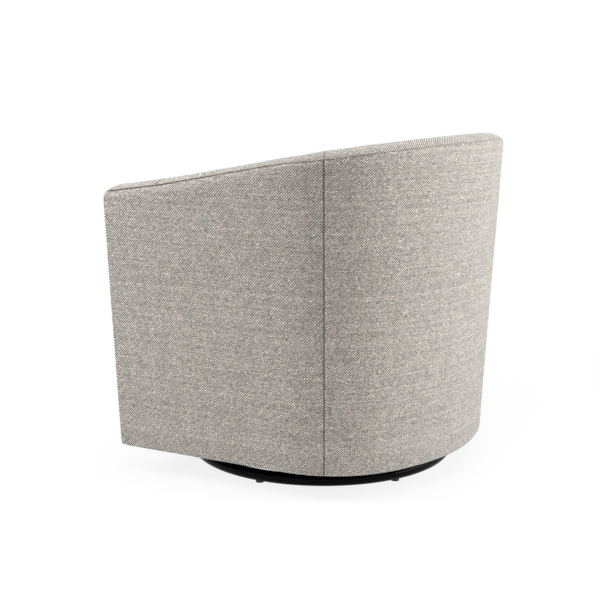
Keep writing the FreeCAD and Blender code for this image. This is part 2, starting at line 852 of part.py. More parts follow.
def is_top_edge(edge):
    """True for an edge of the crest, apart from the slight bends that cross it."""
    middle = edge.valueAt((edge.FirstParameter + edge.LastParameter) / 2)
    if abs(middle.z - crest_height(middle.y)) > contact:
        return False
    depths = [vertex.Y for vertex in edge.Vertexes]
    crosses = max(depths) - min(depths) < contact
    return not crosses or abs(depths[0] - arm_front_y) < contact


def band(begin, end):
    """Stretch of the band between two cross seams."""
    stretch = wall(lambda z: outer(z, -cut_margin), lambda z: inner(z, cut_margin), band_low, above_crest,
                   begin, end, arm_front_y)
    return whole_band().common(stretch)


def seat_spring_rows():
    """Place across the seat, first and last cross run of each zigzag spring, on the two rails."""
    rows = []
    face = outer(seat_rail_top, (rail_outer + rail_inner) / 2)
    back_r = back_radius(face)
    front = front_face_y + frame_thickness / 2
    for n in range(seat_spring_count):
        x = (n - (seat_spring_count - 1) / 2) * seat_spring_pitch
        back = face.back - back_r + math.sqrt(back_r ** 2 - x ** 2)
        rows.append((x, front, back))
    return rows


def zigzag(x, front, back):
    """One flat zigzag wire: cross runs joined by half loops."""
    count = 2 * round((back - front) / (4 * seat_spring_loop_r))
    step = (back - front) / count
    reach = seat_spring_width / 2 - step / 2
    edges = []
    for n in range(count + 1):
        side = 1 if n % 2 == 0 else -1
        y = front + n * step
        start = V(x - side * reach, y, seat_spring_height)
        finish = V(x + side * reach, y, seat_spring_height)
        edges.append(Part.LineSegment(start, finish).toShape())
        if n < count:
            peak = V(finish.x + side * step / 2, y + step / 2, seat_spring_height)
            edges.append(Part.Arc(finish, peak, V(finish.x, y + step, seat_spring_height)).toShape())
    section = Part.Wire(Part.makeCircle(seat_spring_wire / 2, edges[0].firstVertex().Point, ALONG_X))
    return Part.Wire(edges).makePipeShell([section], True, False)


def spring_clips():
    """Clips that hold the end runs of the zigzag springs on the rails."""
    clips = []
    half_x = clip_size[0] / 2
    half_y = clip_size[1] / 2
    for x, front, back in seat_spring_rows():
        for y in (front, back):
            clip = box(x - half_x, x + half_x, y - half_y, y + half_y,
                       seat_rail_top + hole_clearance, deck_bottom - hole_clearance)
            wire = Part.makeCylinder(seat_spring_wire / 2 + hole_clearance, 2 * half_x,
                                     V(x - half_x, y, seat_spring_height), ALONG_X)
            clips.append(clip.cut(wire))
    return clips


def back_webbing():
    """Elastic straps stretched round the inside of the posts."""
    lowest = deck_bottom + webbing_above_deck
    highest = crest_front - rail_drop - top_rail_thickness - webbing_below_rail - webbing_band
    count = 1 + int((highest - lowest) / (webbing_band + webbing_gap))
    step = (highest - lowest) / max(count - 1, 1)
    near = frame_inner + soft_gap
    straps = []
    for n in range(count):
        bottom = lowest + n * step
        straps.append(layer(near, near + web_thickness, bottom, bottom + webbing_band,
                            webbing_station, last_station - webbing_station))
    return straps


def deck_pad():
    """Felt pad over the seat springs."""
    return room(lambda z: inner(z, deck_inset), deck_bottom, deck_bottom + deck_thickness,
                front_face_y + frame_thickness / 2, cushion_corner_r)


def cushion(skin):
    """Seat cushion with a crowned top and sides drawn in above and below, or its core under a skin."""
    bottom = cushion_bottom + skin
    top = cushion_bottom + cushion_thickness - skin
    wires = []
    for share, drawn_in, round_factor in cushion_sections:
        height = bottom + (top - bottom) * share
        outline = inner(height, cushion_side_gap + drawn_in + skin)
        front = cushion_front_y + drawn_in + skin
        wires.append(closed_wire(outline, height, front, cushion_corner_r * round_factor))
    return Part.makeLoft(wires, True, False)


def dust_cover():
    """Thin cloth under the body with a round hole for the mechanism."""
    top = low_height
    bottom = top - dust_cover_thickness
    sheet = room(lambda z: outer(top, dust_cover_inset), bottom, top, arm_front_y + dust_cover_inset)
    return sheet.cut(tube(dust_cover_hole_r, 0, bottom, top))


def build_base():
    """Pieces that stand still on the floor."""
    save("base_ring", base_ring())
    save("base_glides", base_glides())
    save("base_spokes", base_spokes())
    save("hub_plate", hub_plate())
    places = race_bolt_places()
    save("lower_race", race(race_bottom, race_bottom + race_plate, kingpin_r + seat_fit, places))
    save("race_bolts", bolts_with_nuts(places, hub_bottom - m6_nut, hub_bottom, race_bottom + race_plate))
    save("kingpin", kingpin())
    save("kingpin_washer", kingpin_washer())
    save("kingpin_nut", kingpin_nut())


def build_ball_race():
    """Cage and balls, which turn half as far as the chair."""
    save("ball_cage", ball_cage())
    save("bearing_balls", bearing_balls())


def build_swivel_head():
    """Pieces that turn with the chair but don't rock."""
    places = head_bolt_places()
    bush_hole = kingpin_r + bush_wall + seat_fit
    save("upper_race", race(upper_race_plate, upper_race_bottom, bush_hole, places))
    nut_bottom = upper_race_plate - m6_thin_nut
    save("head_bolts", bolts_with_nuts(places, nut_bottom, upper_race_plate, bracket_top))
    bush = tube(kingpin_r + bush_wall, kingpin_r + running_fit, upper_race_plate, bracket_top)
    save("kingpin_bush", bush)
    save("rocker_lower_bracket", rocker_lower_bracket())
    save("pivot_shaft", pivot_shaft())
    save("shaft_clips", shaft_clips())
    save("rock_springs", rock_springs())
    save("spring_cups_lower", spring_cups(bracket_top, 1))
    save("rubber_stops", rubber_stops())


def build_frame():
    """Wooden frame and what is fixed to it, which rock with the seat."""
    save("rocker_upper_bracket", rocker_upper_bracket())
    save("pivot_bushes", pivot_bushes())
    save("spring_cups_upper", spring_cups(upper_plate_height, -1))
    save("mechanism_bolts", mechanism_bolts())
    save("mechanism_rails", mechanism_rails())
    save("side_rails", side_rails())
    side = hoop(0.0, seam_station)
    save("base_hoop_sides", [side, mirror_x(side)])
    save("base_hoop_back", hoop(seam_station, last_station - seam_station))
    save("front_rail_lower", front_rail(hoop_bottom, hoop_bottom + hoop_height))
    save("seat_rail_front", front_rail(seat_rail_top - seat_rail_height, seat_rail_top))
    save("seat_rail_back", seat_rail_back())
    save("front_posts", front_posts())
    save("arm_posts", arm_posts())
    save("back_posts", back_posts())
    save("top_rail", top_rail())
    save("seat_springs", [zigzag(*row) for row in seat_spring_rows()])
    save("spring_clips", spring_clips())
    save("back_webbing", back_webbing())


def build_upholstery():
    """Boards, pads and covers."""
    far_seam = last_station - seam_station
    arm_sheet = board_panel(0.0, seam_station)
    save("arm_board_right", arm_sheet)
    save("arm_board_left", mirror_x(arm_sheet))
    save("back_board", board_panel(seam_station, far_seam))
    arm_cover = cover_panel(0.0, seam_station)
    save("outside_arm_right", arm_cover)
    save("outside_arm_left", mirror_x(arm_cover))
    save("outside_back", cover_panel(seam_station, far_seam))
    front = arm_front()
    save("arm_front_right", front)
    save("arm_front_left", mirror_x(front))
    save("front_panel", front_panel())
    arm_pad = pad(0.0, seam_station)
    save("inside_arm_right", arm_pad)
    save("inside_arm_left", mirror_x(arm_pad))
    save("inside_back", pad(seam_station, far_seam))
    tip = band(-station_reach, tip_station)
    save("band_tip_right", tip)
    save("band_tip_left", mirror_x(tip))
    arm_band = band(tip_station, seam_station)
    save("band_arm_right", arm_band)
    save("band_arm_left", mirror_x(arm_band))
    save("band_back", band(seam_station, far_seam))
    save("deck_pad", deck_pad())
    core = cushion(cushion_skin)
    save("cushion_core", cushion(cushion_skin + 2 * soft_gap))
    save("cushion_cover", cushion(0.0).cut(core))
    save("dust_cover", dust_cover())


os.makedirs("parts", exist_ok=True)
build_base()
build_ball_race()
build_swivel_head()
build_frame()
build_upholstery()
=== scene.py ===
"""Swivel rocker: soft covers, pads, cushion and finishes, built round the packed CAD model.

Everything is in metres in the row frame. The body is a U seen from above. A station counts along it:
0 right arm front, 1 and 2 the ends of the corner arc, 3 back centre, 6 left arm front.
"""

import json
import math

import bmesh
import bpy
import numpy as np
from bpy.props import FloatProperty, FloatVectorProperty, IntProperty, PointerProperty
from bpy.types import Operator, Panel, PropertyGroup
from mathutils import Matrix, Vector


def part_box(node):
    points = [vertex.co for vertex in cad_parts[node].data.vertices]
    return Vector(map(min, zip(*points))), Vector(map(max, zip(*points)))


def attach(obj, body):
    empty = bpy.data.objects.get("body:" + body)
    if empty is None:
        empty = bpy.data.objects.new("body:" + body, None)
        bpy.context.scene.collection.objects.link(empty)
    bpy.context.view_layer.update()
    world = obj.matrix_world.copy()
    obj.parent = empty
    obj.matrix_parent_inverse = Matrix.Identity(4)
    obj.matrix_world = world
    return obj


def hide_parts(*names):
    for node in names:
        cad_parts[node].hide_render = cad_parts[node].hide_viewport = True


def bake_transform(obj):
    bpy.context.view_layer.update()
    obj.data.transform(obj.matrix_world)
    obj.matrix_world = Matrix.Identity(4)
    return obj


bl_info = {
    "name": "Swivel rocker",
    "version": (1, 0, 0),
    "blender": (4, 5, 0),
    "location": "View3D > Sidebar > Rocker",
    "description": "Upholstery, cushion, finishes and studio of a swivel rocker",
    "category": "Add Mesh",
}

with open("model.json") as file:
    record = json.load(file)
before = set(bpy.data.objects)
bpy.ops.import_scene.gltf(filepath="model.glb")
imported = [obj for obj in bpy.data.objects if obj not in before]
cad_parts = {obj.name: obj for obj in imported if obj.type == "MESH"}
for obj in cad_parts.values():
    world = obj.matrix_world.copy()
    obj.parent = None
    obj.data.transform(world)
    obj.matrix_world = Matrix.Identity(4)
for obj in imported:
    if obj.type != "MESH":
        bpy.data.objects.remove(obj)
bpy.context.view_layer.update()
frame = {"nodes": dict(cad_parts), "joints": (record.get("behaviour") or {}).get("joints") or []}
swivel_axis_y = next(joint["pos_m"][1] for joint in frame["joints"] if joint["name"] == "swivel")
last_station = 6.0
corner_turn = math.radians(58.0)
# Heights at which lengths along the U are measured, on the walls and at the crest.
wall_level, crest_level = 0.4, 0.6
# Distance over which the painted shade of a seam fades.
seam_shade = 0.0009
finished = {}


def size(name, default, description):
    """Length property in metres."""
    return FloatProperty(name=name, description=description, default=default, precision=4,
                         subtype="DISTANCE", unit="LENGTH")


def number(name, default, description):
    """Plain number property."""
    return FloatProperty(name=name, description=description, default=default, precision=3)


def linear(red, green, blue):
    """Linear colour of an sRGB colour written from 0 to 255."""
    steps = np.array([red, green, blue]) / 255
    return tuple(np.where(steps <= 0.04045, steps / 12.92, ((steps + 0.055) / 1.055) ** 2.4).tolist())


def colour(name, default, description):
    """Colour property."""
    return FloatVectorProperty(name=name, description=description, default=linear(*default), size=3,
                               min=0.0, max=1.0, subtype="COLOR")


class RockerTub(PropertyGroup):
    """The body's walls, as in the CAD model."""

    low_height: size("Bottom edge", 0.053, "Height of the body's bottom edge")
    top_height: size("Top outline", 0.714, "Height that the top outline is given at")
    outer_half_low: size("Outer half width, low", 0.352, "Half width at the bottom edge")
    outer_half_top: size("Outer half width, top", 0.399, "Half width at the top")
    outer_back_low: size("Outer back, low", 0.353, "Back face behind the swivel axis, low")
    outer_back_top: size("Outer back, top", 0.386, "Back face behind the swivel axis, top")
    outer_corner_low: size("Outer corner, low", 0.227, "Radius of the outer corner arc, low")
    outer_corner_top: size("Outer corner, top", 0.225, "Radius of the outer corner arc, top")
    inner_half_low: size("Inner half width, low", 0.245, "Half width between the arms, low")
    inner_half_top: size("Inner half width, top", 0.319, "Half width between the arms, top")
    inner_back_low: size("Inner back, low", 0.215, "Inside back behind the swivel axis, low")
    inner_back_top: size("Inner back, top", 0.306, "Inside back behind the swivel axis, top")
    inner_corner_low: size("Inner corner, low", 0.150, "Radius of the inner corner arc, low")
    inner_corner_top: size("Inner corner, top", 0.145, "Radius of the inner corner arc, top")
    front: size("Arm front", 0.308, "Front of the arms before the swivel axis")
    seam_station: number("Vertical seam", 1.385, "Station of the seam between arm and back")
    tip_station: number("Band tip seam", 0.30, "Station of the cross seam near the arm front")
    crest_front: size("Crest at the front", 0.615, "Height of the crest at the arm front")
    bend: size("First bend", 0.166, "Where the crest's first slope ends, before the axis")
    kink: size("Second bend", 0.180, "Where its last slope begins, behind the axis")
    tip_slope: number("Tip slope", 0.134, "Rise of the crest over the arm tips")
    arm_slope: number("Arm slope", 0.176, "Rise of the crest over the arms")
    back_slope: number("Back slope", 0.153, "Rise of the crest over the back")


class RockerCovers(PropertyGroup):
    """Cloth covers, seams and pads."""

    cover: size("Cover", 0.006, "Thickness of cloth and wadding")
    lip: size("Turned-in lip", 0.028, "Width of the cover turned in under the body")
    hem_r: size("Hem roll", 0.008, "Radius of the rolled bottom edge")
    corner_r: size("Bottom corner", 0.015, "Radius of the body's lower front corner, seen from the side")
    seam_r: size("Seam roll", 0.0012, "Radius of the cloth's edge at a seam")
    seam_gap: size("Seam gap", 0.0003, "Gap between two pieces at a seam")
    upright_r: size("Upright seam roll", 0.0016, "Radius of the cloth's edge at the upright seams")
    front_gap: size("Front gap", 0.0002, "Gap behind the front covers")
    shoulder: size("Shoulder", 0.030, "How far below the crest the wall starts to turn in")
    crest_power: number("Crest roundness", 1.9, "Exponent of the crest's superellipse")
    crown_out: size("Crown from outside", 0.047, "From the outer face in to the crown")
    crown_in: size("Crown from inside", 0.035, "From the inner face in to the crown")
    crown_sink: size("Crown sink", 0.0015, "How far the crown is pulled down by the cloth")
    band_depth: size("Band depth", 0.016, "Depth of the crest band below the crest on the inside")
    band_arm: size("Band on the arms", 0.0128, "Its depth outside along the arms")
    band_back: size("Band on the back", 0.0208, "Its depth outside round the back")
    tip_back: size("Tip set-back", 0.0025, "How far the band's front end stands behind the arm front")
    tip_round: size("Tip round", 0.019, "Length of the rounding at the band's front end")
    front_r: size("Front corner", 0.0055, "Radius of the arm front's upright edges")
    front_crown: size("Front crown", 0.0015, "How far the front covers stand out in the middle")
    wave: size("Wave", 0.0004, "Soft unevenness of the cloth over the boards")
    pucker: size("Pucker", 0.00035, "Depth of the stitches' puckers at a seam")
    stitch: size("Stitch", 0.0085, "Distance between puckers")
    pad_back: size("Pad start", 0.034, "Depth of the pads' hidden face under the outside")
    pad_low: size("Pad bottom", 0.293, "Height of the pads' bottom edge")
    pad_rest: size("Pad set-back", 0.005, "How far a pad's face starts behind its final place")
    pad_reach: size("Pad swell", 0.010, "Most that a point of a pad may move as it is filled")


class RockerCushion(PropertyGroup):
    """Seat cushion and the cloth under the body."""

    low: size("Cushion bottom", 0.3025, "Height of the cushion's underside")
    border: size("Border", 0.112, "Height of the cushion's border before it is filled")
    inset: size("Inset", 0.004, "Gap between the cushion and the pads before it is filled")
    front: size("Cushion front", 0.3015, "Front of the cushion before the axis, unfilled")
    corner_r: size("Front corners", 0.032, "Radius of the front corners")
    crown: size("Crown", 0.012, "Crown of top before it is filled")
    reach: size("Swell", 0.024, "Most that a point may move as the cushion is filled")
    seam_reach: size("Seam swell", 0.004, "Most that a seam may move")
    seam_depth: size("Seam depth", 0.0030, "Depth of the seams round the cushion")
    dust_inset: size("Dust cover inset", 0.014, "Dust cover's edge inside the body's edge")
    dust_hole: size("Dust cover hole", 0.172, "Radius of the hole for the mechanism")
    dust_cloth: size("Dust cloth", 0.0006, "Thickness of the dust cover")
    staple_step: size("Staple distance", 0.045, "Distance between two staples")


class RockerSprings(PropertyGroup):
    """Coil springs between the brackets."""

    wire_r: size("Wire", 0.003, "Radius of the wire")
    mean_r: size("Coil", 0.020, "Radius of the coil's centre line")
    end_pitch: size("End pitch", 0.0072, "Rise of the first turn and of the last")
    turns: IntProperty(name="Turns", description="Turns of each coil", default=6, min=3)


class RockerCloth(PropertyGroup):
    """The tweed and the other colours."""

    pitch: size("Yarn", 0.00133, "Distance between two yarns")
    warp: colour("Warp", (97, 92, 86), "Dark yarns")
    weft: colour("Weft", (214, 208, 200), "Light yarns")
    slub: number("Slubs", 0.9, "How much the yarns vary in lightness along their length")
    fleck: number("Flecks", 0.55, "Contrast of the flecks of a few yarns")
    speckle: number("Speckle", 0.2, "Contrast from crossing to crossing")
    blotch: number("Blotches", 0.10, "Contrast of the wide soft patches")
    # Painted shade: how much darker the cloth is painted deep in a seam.
    painted_shading: number("Creases", 0.8, "How much darker the cloth is deep in a seam")
    enamel: colour("Enamel", (9, 9, 9), "Base ring, spokes and hub")
    zinc: colour("Zinc plate", (186, 188, 190), "Brackets, races and cups")
    steel: colour("Bright steel", (205, 205, 206), "Fasteners, shaft and balls")
    spring: colour("Spring steel", (88, 86, 84), "Coil springs")
    nylon: colour("Nylon", (38, 38, 39), "Glides, cage, bushes and clips")
    rubber: colour("Rubber", (24, 24, 25), "Stops")
    wood: colour("Hardwood", (196, 160, 112), "Frame")
    ply: colour("Plywood", (204, 172, 126), "Hoops and top rail")
    board: colour("Fibreboard", (126, 96, 66), "Boards under the covers")
    jute: colour("Webbing", (160, 128, 84), "Straps behind the pads")
    felt: colour("Felt", (150, 148, 144), "Deck")
    cambric: colour("Cambric", (26, 26, 27), "Dust cover")


class RockerStage(PropertyGroup):
    """Camera and lamps."""

    azimuth: FloatProperty(name="Azimuth", description="Camera's direction", default=math.radians(118.03),
                           subtype="ANGLE", unit="ROTATION")
    elevation: FloatProperty(name="Elevation", description="Camera's height angle",
                             default=math.radians(10.0), subtype="ANGLE", unit="ROTATION")
    distance: size("Distance", 2.560, "From the camera to the point it looks at")
    aim_height: size("Aim height", 0.3419, "Height of the point it looks at")
    aim_aside: size("Aim aside", -0.0495, "How far that point lies to the right of the axis")
    lens: number("Lens", 67.95, "Focal length in mm on a 36 mm sensor")
    key: number("Key lamp", 56.0, "Watts of the lamp at the right")
    side: number("Side lamp", 46.0, "Watts of the lamp at the left")
    top: number("Top lamp", 38.0, "Watts of the lamp overhead")
    sky: number("Sky", 0.29, "Strength of the light from all round")
    floor: colour("Floor", (238, 238, 238), "Floor")


def quarter(count):
    """Angles of a quarter turn, from 0, evenly apart."""
    return np.linspace(0, math.pi / 2, count)


def smooth_step(share):
    """Smooth rise from 0 to 1, flat at both ends and past them."""
    share = np.clip(share, 0, 1)
    return share * share * (3 - 2 * share)


def joined(*parts):
    """Points, or cloth coordinates, from one array for each direction."""
    return np.stack(np.broadcast_arrays(*parts), axis=-1)


def unit(vectors):
    """Vectors of length one, a row each."""
    return vectors / np.linalg.norm(vectors, axis=1, keepdims=True)


def on_line(places, run, line):
    """Points of a line in plan at some places, where run is the length up to each of its points."""
    return np.stack([np.interp(places, run, line[:, k]) for k in range(2)], axis=-1)


def tub_outline(face, height, inset=0.0):
    """Half width, back and corner radius of the U: a straight mix, by height, of the sizes at the
    bottom edge and at the top, all less the inset."""
    tub = bpy.context.scene.rocker_tub
    share = (height - tub.low_height) / (tub.top_height - tub.low_height)
    names = ("half", "back", "corner")
    low = [getattr(tub, f"{face}_{name}_low") for name in names]
    top = [getattr(tub, f"{face}_{name}_top") for name in names]
    return [a + (b - a) * share - inset for a, b in zip(low, top)]


def tub_arcs(outline):
    """Corner arc's centre, back arc's radius and centre: the back arc takes over where the corner arc
    has turned by the corner turn, without a kink."""
    half, back, corner = outline
    radius = corner + (half - corner) / math.cos(corner_turn)
    back_y = back - radius
    return half - corner, back_y + (half - corner) * math.tan(corner_turn), radius, back_y


def tub_point(face, station, height, inset=0.0, front=None):
    """Point on the U at a station: along the straight arm up to 1, round the corner arc up to 2 and
    round the back arc up to 3, mirrored past it."""
    front_y = -bpy.context.scene.rocker_tub.front if front is None else front
    outline = tub_outline(face, height, inset)
    half, _, corner = outline
    corner_x, corner_y, radius, back_y = tub_arcs(outline)
    near = np.minimum(station, last_station - station)
    first = corner_turn * (near - 1)
    second = corner_turn + (math.pi / 2 - corner_turn) * (near - 2)
    x = np.where(near <= 1, half, np.where(near <= 2, corner_x + corner * np.cos(first),
                                           radius * np.cos(second)))
    y = np.where(near <= 1, front_y + (corner_y - front_y) * near,
                 np.where(near <= 2, corner_y + corner * np.sin(first),
                          back_y + radius * np.sin(second)))
    x = np.where(station > last_station / 2, -x, x)
    return joined(x, y + swivel_axis_y, height)


def tub_run(face, station, height, inset=0.0):
    """Length along the U from the right arm front to a station: straight, corner arc, back arc."""
    outline = tub_outline(face, height, inset)
    _, corner_y, radius, _ = tub_arcs(outline)
    straight = corner_y + bpy.context.scene.rocker_tub.front
    corner = outline[2] * corner_turn
    back = radius * (math.pi / 2 - corner_turn)
    near = np.minimum(station, last_station - station)
    run = straight * np.clip(near, 0, 1) + corner * np.clip(near - 1, 0, 1)
    run = run + back * np.clip(near - 2, 0, 1)
    return np.where(station > last_station / 2, 2 * (straight + corner + back) - run, run)


def crest_height(y):
    """Height of the crest at a depth of the row frame: three straight slopes."""
    tub = bpy.context.scene.rocker_tub
    y = y - swivel_axis_y
    height = tub.crest_front + tub.tip_slope * (np.minimum(y, -tub.bend) + tub.front)
    height = height + tub.arm_slope * np.maximum(0, np.minimum(y, tub.kink) + tub.bend)
    return height + tub.back_slope * np.maximum(0, y - tub.kink)


def below_crest(face, station, drop, inset=0.0):
    """Height at a station that lies drop below the crest, where the wall leans: found in four steps."""
    height = crest_height(tub_point(face, station, crest_level, inset)[..., 1]) - drop
    for _ in range(3):
        height = crest_height(tub_point(face, station, height, inset)[..., 1]) - drop
    return height


def band_seam(station):
    """Depth of the band's outer seam below the crest: shallow along the arms, deeper round the back,
    with a smooth step between, from station 0.85 to 1.5."""
    covers = bpy.context.scene.rocker_covers
    share = smooth_step((np.minimum(station, last_station - station) - 0.85) / 0.65)
    return covers.band_arm + (covers.band_back - covers.band_arm) * share


def crest_lean(rise, half):
    """How far the wall has leaned in at a rise above its shoulder, on a superellipse to the crown."""
    covers = bpy.context.scene.rocker_covers
    part = np.clip(rise / covers.shoulder, 0, 1) ** covers.crest_power
    return half * (1 - (1 - part) ** (1 / covers.crest_power))


def roll_off(away, radius):
    """How far a rolled edge has dropped, away from the edge: a quarter circle, as deep as its radius at
    the edge itself."""
    inside = np.clip(radius - away, 0, radius)
    return radius - np.sqrt(np.maximum(radius ** 2 - inside ** 2, 0))


def rolled_steps(length, radius, step):
    """Places along a length, close together over the rolled edge at both ends and even between."""
    edge = radius * (1 - np.cos(quarter(9)))
    count = max(2, math.ceil((length - 2 * radius) / step) + 1)
    middle = np.linspace(radius, length - radius, count)
    return np.concatenate([edge[:-1], middle, length - edge[-2::-1]])


def stretch_stations(face, begin, end, step, radius):
    """Stations of a stretch's columns and their distance from its nearer end, both by length on the
    wall."""
    table = np.linspace(begin, end, 2001)
    run = tub_run(face, table, wall_level)
    places = rolled_steps(run[-1] - run[0], radius, step)
    return np.interp(places, run - run[0], table), np.minimum(places, places[-1] - places)


def soft_wave(u, v, length, seed):
    """Soft unevenness, mostly between -1 and 1: the sum of eight plane waves about a length long, over
    four, each with its own direction and phase."""
    draw = np.random.RandomState(seed)
    total = 0.0
    for _ in range(8):
        turn, phase = draw.uniform(0, 2 * math.pi), draw.uniform(0, 2 * math.pi)
        stretch = draw.uniform(0.7, 1.6)
        along = u * math.cos(turn) + v * math.sin(turn)
        total = total + np.sin(2 * math.pi * along / (length * stretch) + phase)
    return total / 4


def pucker(along, away, seed):
    """Puckers of a stitched seam: a wave along the seam, uneven in strength, that dies out away
    from it."""
    covers = bpy.context.scene.rocker_covers
    uneven = 0.6 + 0.4 * soft_wave(along, along * 0.3, 0.07, seed)
    return covers.pucker * uneven * np.sin(2 * math.pi * along / covers.stitch) * np.exp(-away / 0.006)


def painted_stitch_shade(along, away, seed):
    """Painted shade beside a stitched seam: how dark the cloth is painted, uneven along the seam and fading
    away from it.
    """
    uneven = 0.45 + 0.35 * soft_wave(along, along * 0.4, 0.05, seed)
    return uneven * np.exp(-np.maximum(away, 0) / seam_shade)


def cells(grid):
    """The four corners of each cell of a grid, in the order that goes round it."""
    return np.stack([grid[:-1, :-1], grid[:-1, 1:], grid[1:, 1:], grid[1:, :-1]], axis=2)


def patch(points, uv, closed=False, painted_shading=None):
    """Faces of a grid of points, outside where columns run to the right and rows run up. A closed
    grid's last column joins its first. The painted shading, from 0 to 1, is painted shade that is
    darker the deeper in a seam a point lies, and below 0 it is a painted highlight beside a seam."""
    rows, columns = points.shape[:2]
    index = np.arange(rows * columns).reshape(rows, columns)
    if closed:
        index = np.concatenate([index, index[:, :1]], axis=1)
        uv = np.concatenate([uv, uv[:, -1:] + (uv[:, -1:] - uv[:, -2:-1])], axis=1)
    deep = np.zeros(rows * columns) if painted_shading is None else np.broadcast_to(painted_shading, (rows, columns)).ravel()
    return points.reshape(-1, 3), cells(index).reshape(-1, 4), cells(uv).reshape(-1, 4, 2), deep


def rim(face, lining, uv, deep=0.0):
    """Patch round the border of a face grid that joins it to its lining."""
    def border(grid):
        return np.concatenate([grid[0, :-1], grid[:-1, -1], grid[-1, :0:-1], grid[:0:-1, 0]])
    edge = border(uv)
    across = np.stack([edge, edge])
    return patch(np.stack([border(lining), border(face)]), across, closed=True, painted_shading=deep)


def make_piece(name, patches, finish, merge=2e-6):
    """Object of some patches, merged where they meet, with its cloth coordinates in the UV map."""
    starts = np.cumsum([0] + [len(part[0]) for part in patches[:-1]])
    points, quads, corner_uv, painted_shading = (np.concatenate(parts) for parts in zip(*patches))
    quads = quads + np.repeat(starts, [len(part[1]) for part in patches])[:, None]
    mesh = bpy.data.meshes.new(name)
    mesh.vertices.add(len(points))
    mesh.vertices.foreach_set("co", points.astype(np.float32).ravel())
    mesh.loops.add(quads.size)
    mesh.loops.foreach_set("vertex_index", quads.astype(np.int32).ravel())
    mesh.polygons.add(len(quads))
    mesh.polygons.foreach_set("loop_start", np.arange(0, quads.size, 4, dtype=np.int32))
    mesh.uv_layers.new(name="cloth").uv.foreach_set("vector", corner_uv.astype(np.float32).ravel())
    # The painted_shading attribute carries painted shade in the seams and a painted highlight beside them.
    mesh.attributes.new("painted_shading", "FLOAT", "POINT").data.foreach_set("value", painted_shading.astype(np.float32))
    mesh.update(calc_edges=True)
    work = bmesh.new()
    work.from_mesh(mesh)
    bmesh.ops.remove_doubles(work, verts=work.verts, dist=merge)
    bmesh.ops.dissolve_degenerate(work, edges=work.edges, dist=merge)
    work.to_mesh(mesh)
    work.free()
    mesh.shade_smooth()
    mesh.materials.append(finish)
    piece = bpy.data.objects.new(name, mesh)
    bpy.context.scene.collection.objects.link(piece)
    return piece


def shell(face, lining, uv, painted_shading=None):
    """Patches that close the room between a face grid and a lining grid of the same shape."""
    # Where the face has painted shading, the lining and the rim get painted shade of 0.6, so the gap in a
    # seam looks dark.
    deep = 0.0 if painted_shading is None else 0.6
    return [patch(face, uv, painted_shading=painted_shading), patch(lining[:, ::-1], uv[:, ::-1], painted_shading=deep),
            rim(face, lining, uv, deep)]


def sharpen(piece, degrees=50.0):
    """Keeps edges sharper than an angle crisp."""
    piece.data.set_sharp_from_angle(angle=math.radians(degrees))


def cover_piece(piece, node):
    """Parents a padded piece to the chair's body and hides the CAD nodes that it stands for."""
    nodes = [node] if isinstance(node, str) else node
    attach(piece, "chair")
    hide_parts(*nodes)


def mesh_points(mesh):
    """A mesh's points as an array."""
    points = np.empty(len(mesh.vertices) * 3, np.float32)
    mesh.vertices.foreach_get("co", points)
    return points.reshape(-1, 3).astype(float)


def set_points(mesh, points):
    """Moves a mesh's points."""
    mesh.vertices.foreach_set("co", points.astype(np.float32).ravel())
    mesh.update()


def fill_cover(piece, held, reach, pressure=4.0, frames=20):
    """Fills a closed cover: Cloth with pressure and without gravity over some frames, with the held
    points pinned, and no point moved further than its reach."""
    group = piece.vertex_groups.new(name="held")
    group.add(np.flatnonzero(held).tolist(), 1.0, "REPLACE")
    cloth = piece.modifiers.new("fill", "CLOTH")
    cloth.settings.use_pressure = True
    cloth.settings.uniform_pressure_force = pressure
    cloth.settings.effector_weights.gravity = 0
    cloth.settings.vertex_group_mass = group.name
    cloth.point_cache.frame_start = 1
    cloth.point_cache.frame_end = frames
    rest = mesh_points(piece.data)
    for step in range(1, frames + 1):
        bpy.context.scene.frame_set(step)
    filled = piece.evaluated_get(bpy.context.evaluated_depsgraph_get())
    shift = mesh_points(filled.data) - rest
    length = np.linalg.norm(shift, axis=1)
    piece.modifiers.remove(cloth)
    piece.vertex_groups.remove(group)
    bpy.context.scene.frame_set(1)
    set_points(piece.data, rest + shift * np.minimum(1, reach / np.maximum(length, 1e-9))[:, None])


def subdivide(piece):
    """One level of Subdivision Surface, applied."""
    modifier = piece.modifiers.new("round", "SUBSURF")
    modifier.levels = modifier.render_levels = 1
    depsgraph = bpy.context.evaluated_depsgraph_get()
    mesh = bpy.data.meshes.new_from_object(piece.evaluated_get(depsgraph), depsgraph=depsgraph)
    piece.modifiers.clear()
    old = piece.data
    piece.data = mesh
    bpy.data.meshes.remove(old)
    mesh.name = piece.name
    mesh.shade_smooth()


class Nodes:
    """Nodes and links of a material or of the sky."""

    def __init__(self, holder):
        holder.use_nodes = True
        self.nodes, self.links = holder.node_tree.nodes, holder.node_tree.links
        self.nodes.clear()

    def add(self, kind, inputs, **settings):
        """Node of a kind with its sockets linked or set. Returns the node."""
        node = self.nodes.new("ShaderNode" + kind)
        for name, value in settings.items():
            setattr(node, name, value)
        for socket, value in inputs.items():
            if isinstance(value, bpy.types.NodeSocket):
                self.links.new(value, node.inputs[socket])
            else:
                node.inputs[socket].default_value = value
        return node

    def math(self, operation, first, second=0.0, third=0.0):
        """Result of one Math node."""
        inputs = {0: first, 1: second}
        if operation == "MULTIPLY_ADD":
            inputs[2] = third
        return self.add("Math", inputs, operation=operation).outputs[0]

    def seen(self):
        """1 where the camera sees it, straight, mirrored or through something clear, and 0 as a light."""
        path = self.add("LightPath", {}).outputs
        indirect = self.math("MAXIMUM", path["Is Glossy Ray"], path["Is Transmission Ray"])
        return self.math("MAXIMUM", path["Is Camera Ray"], indirect)


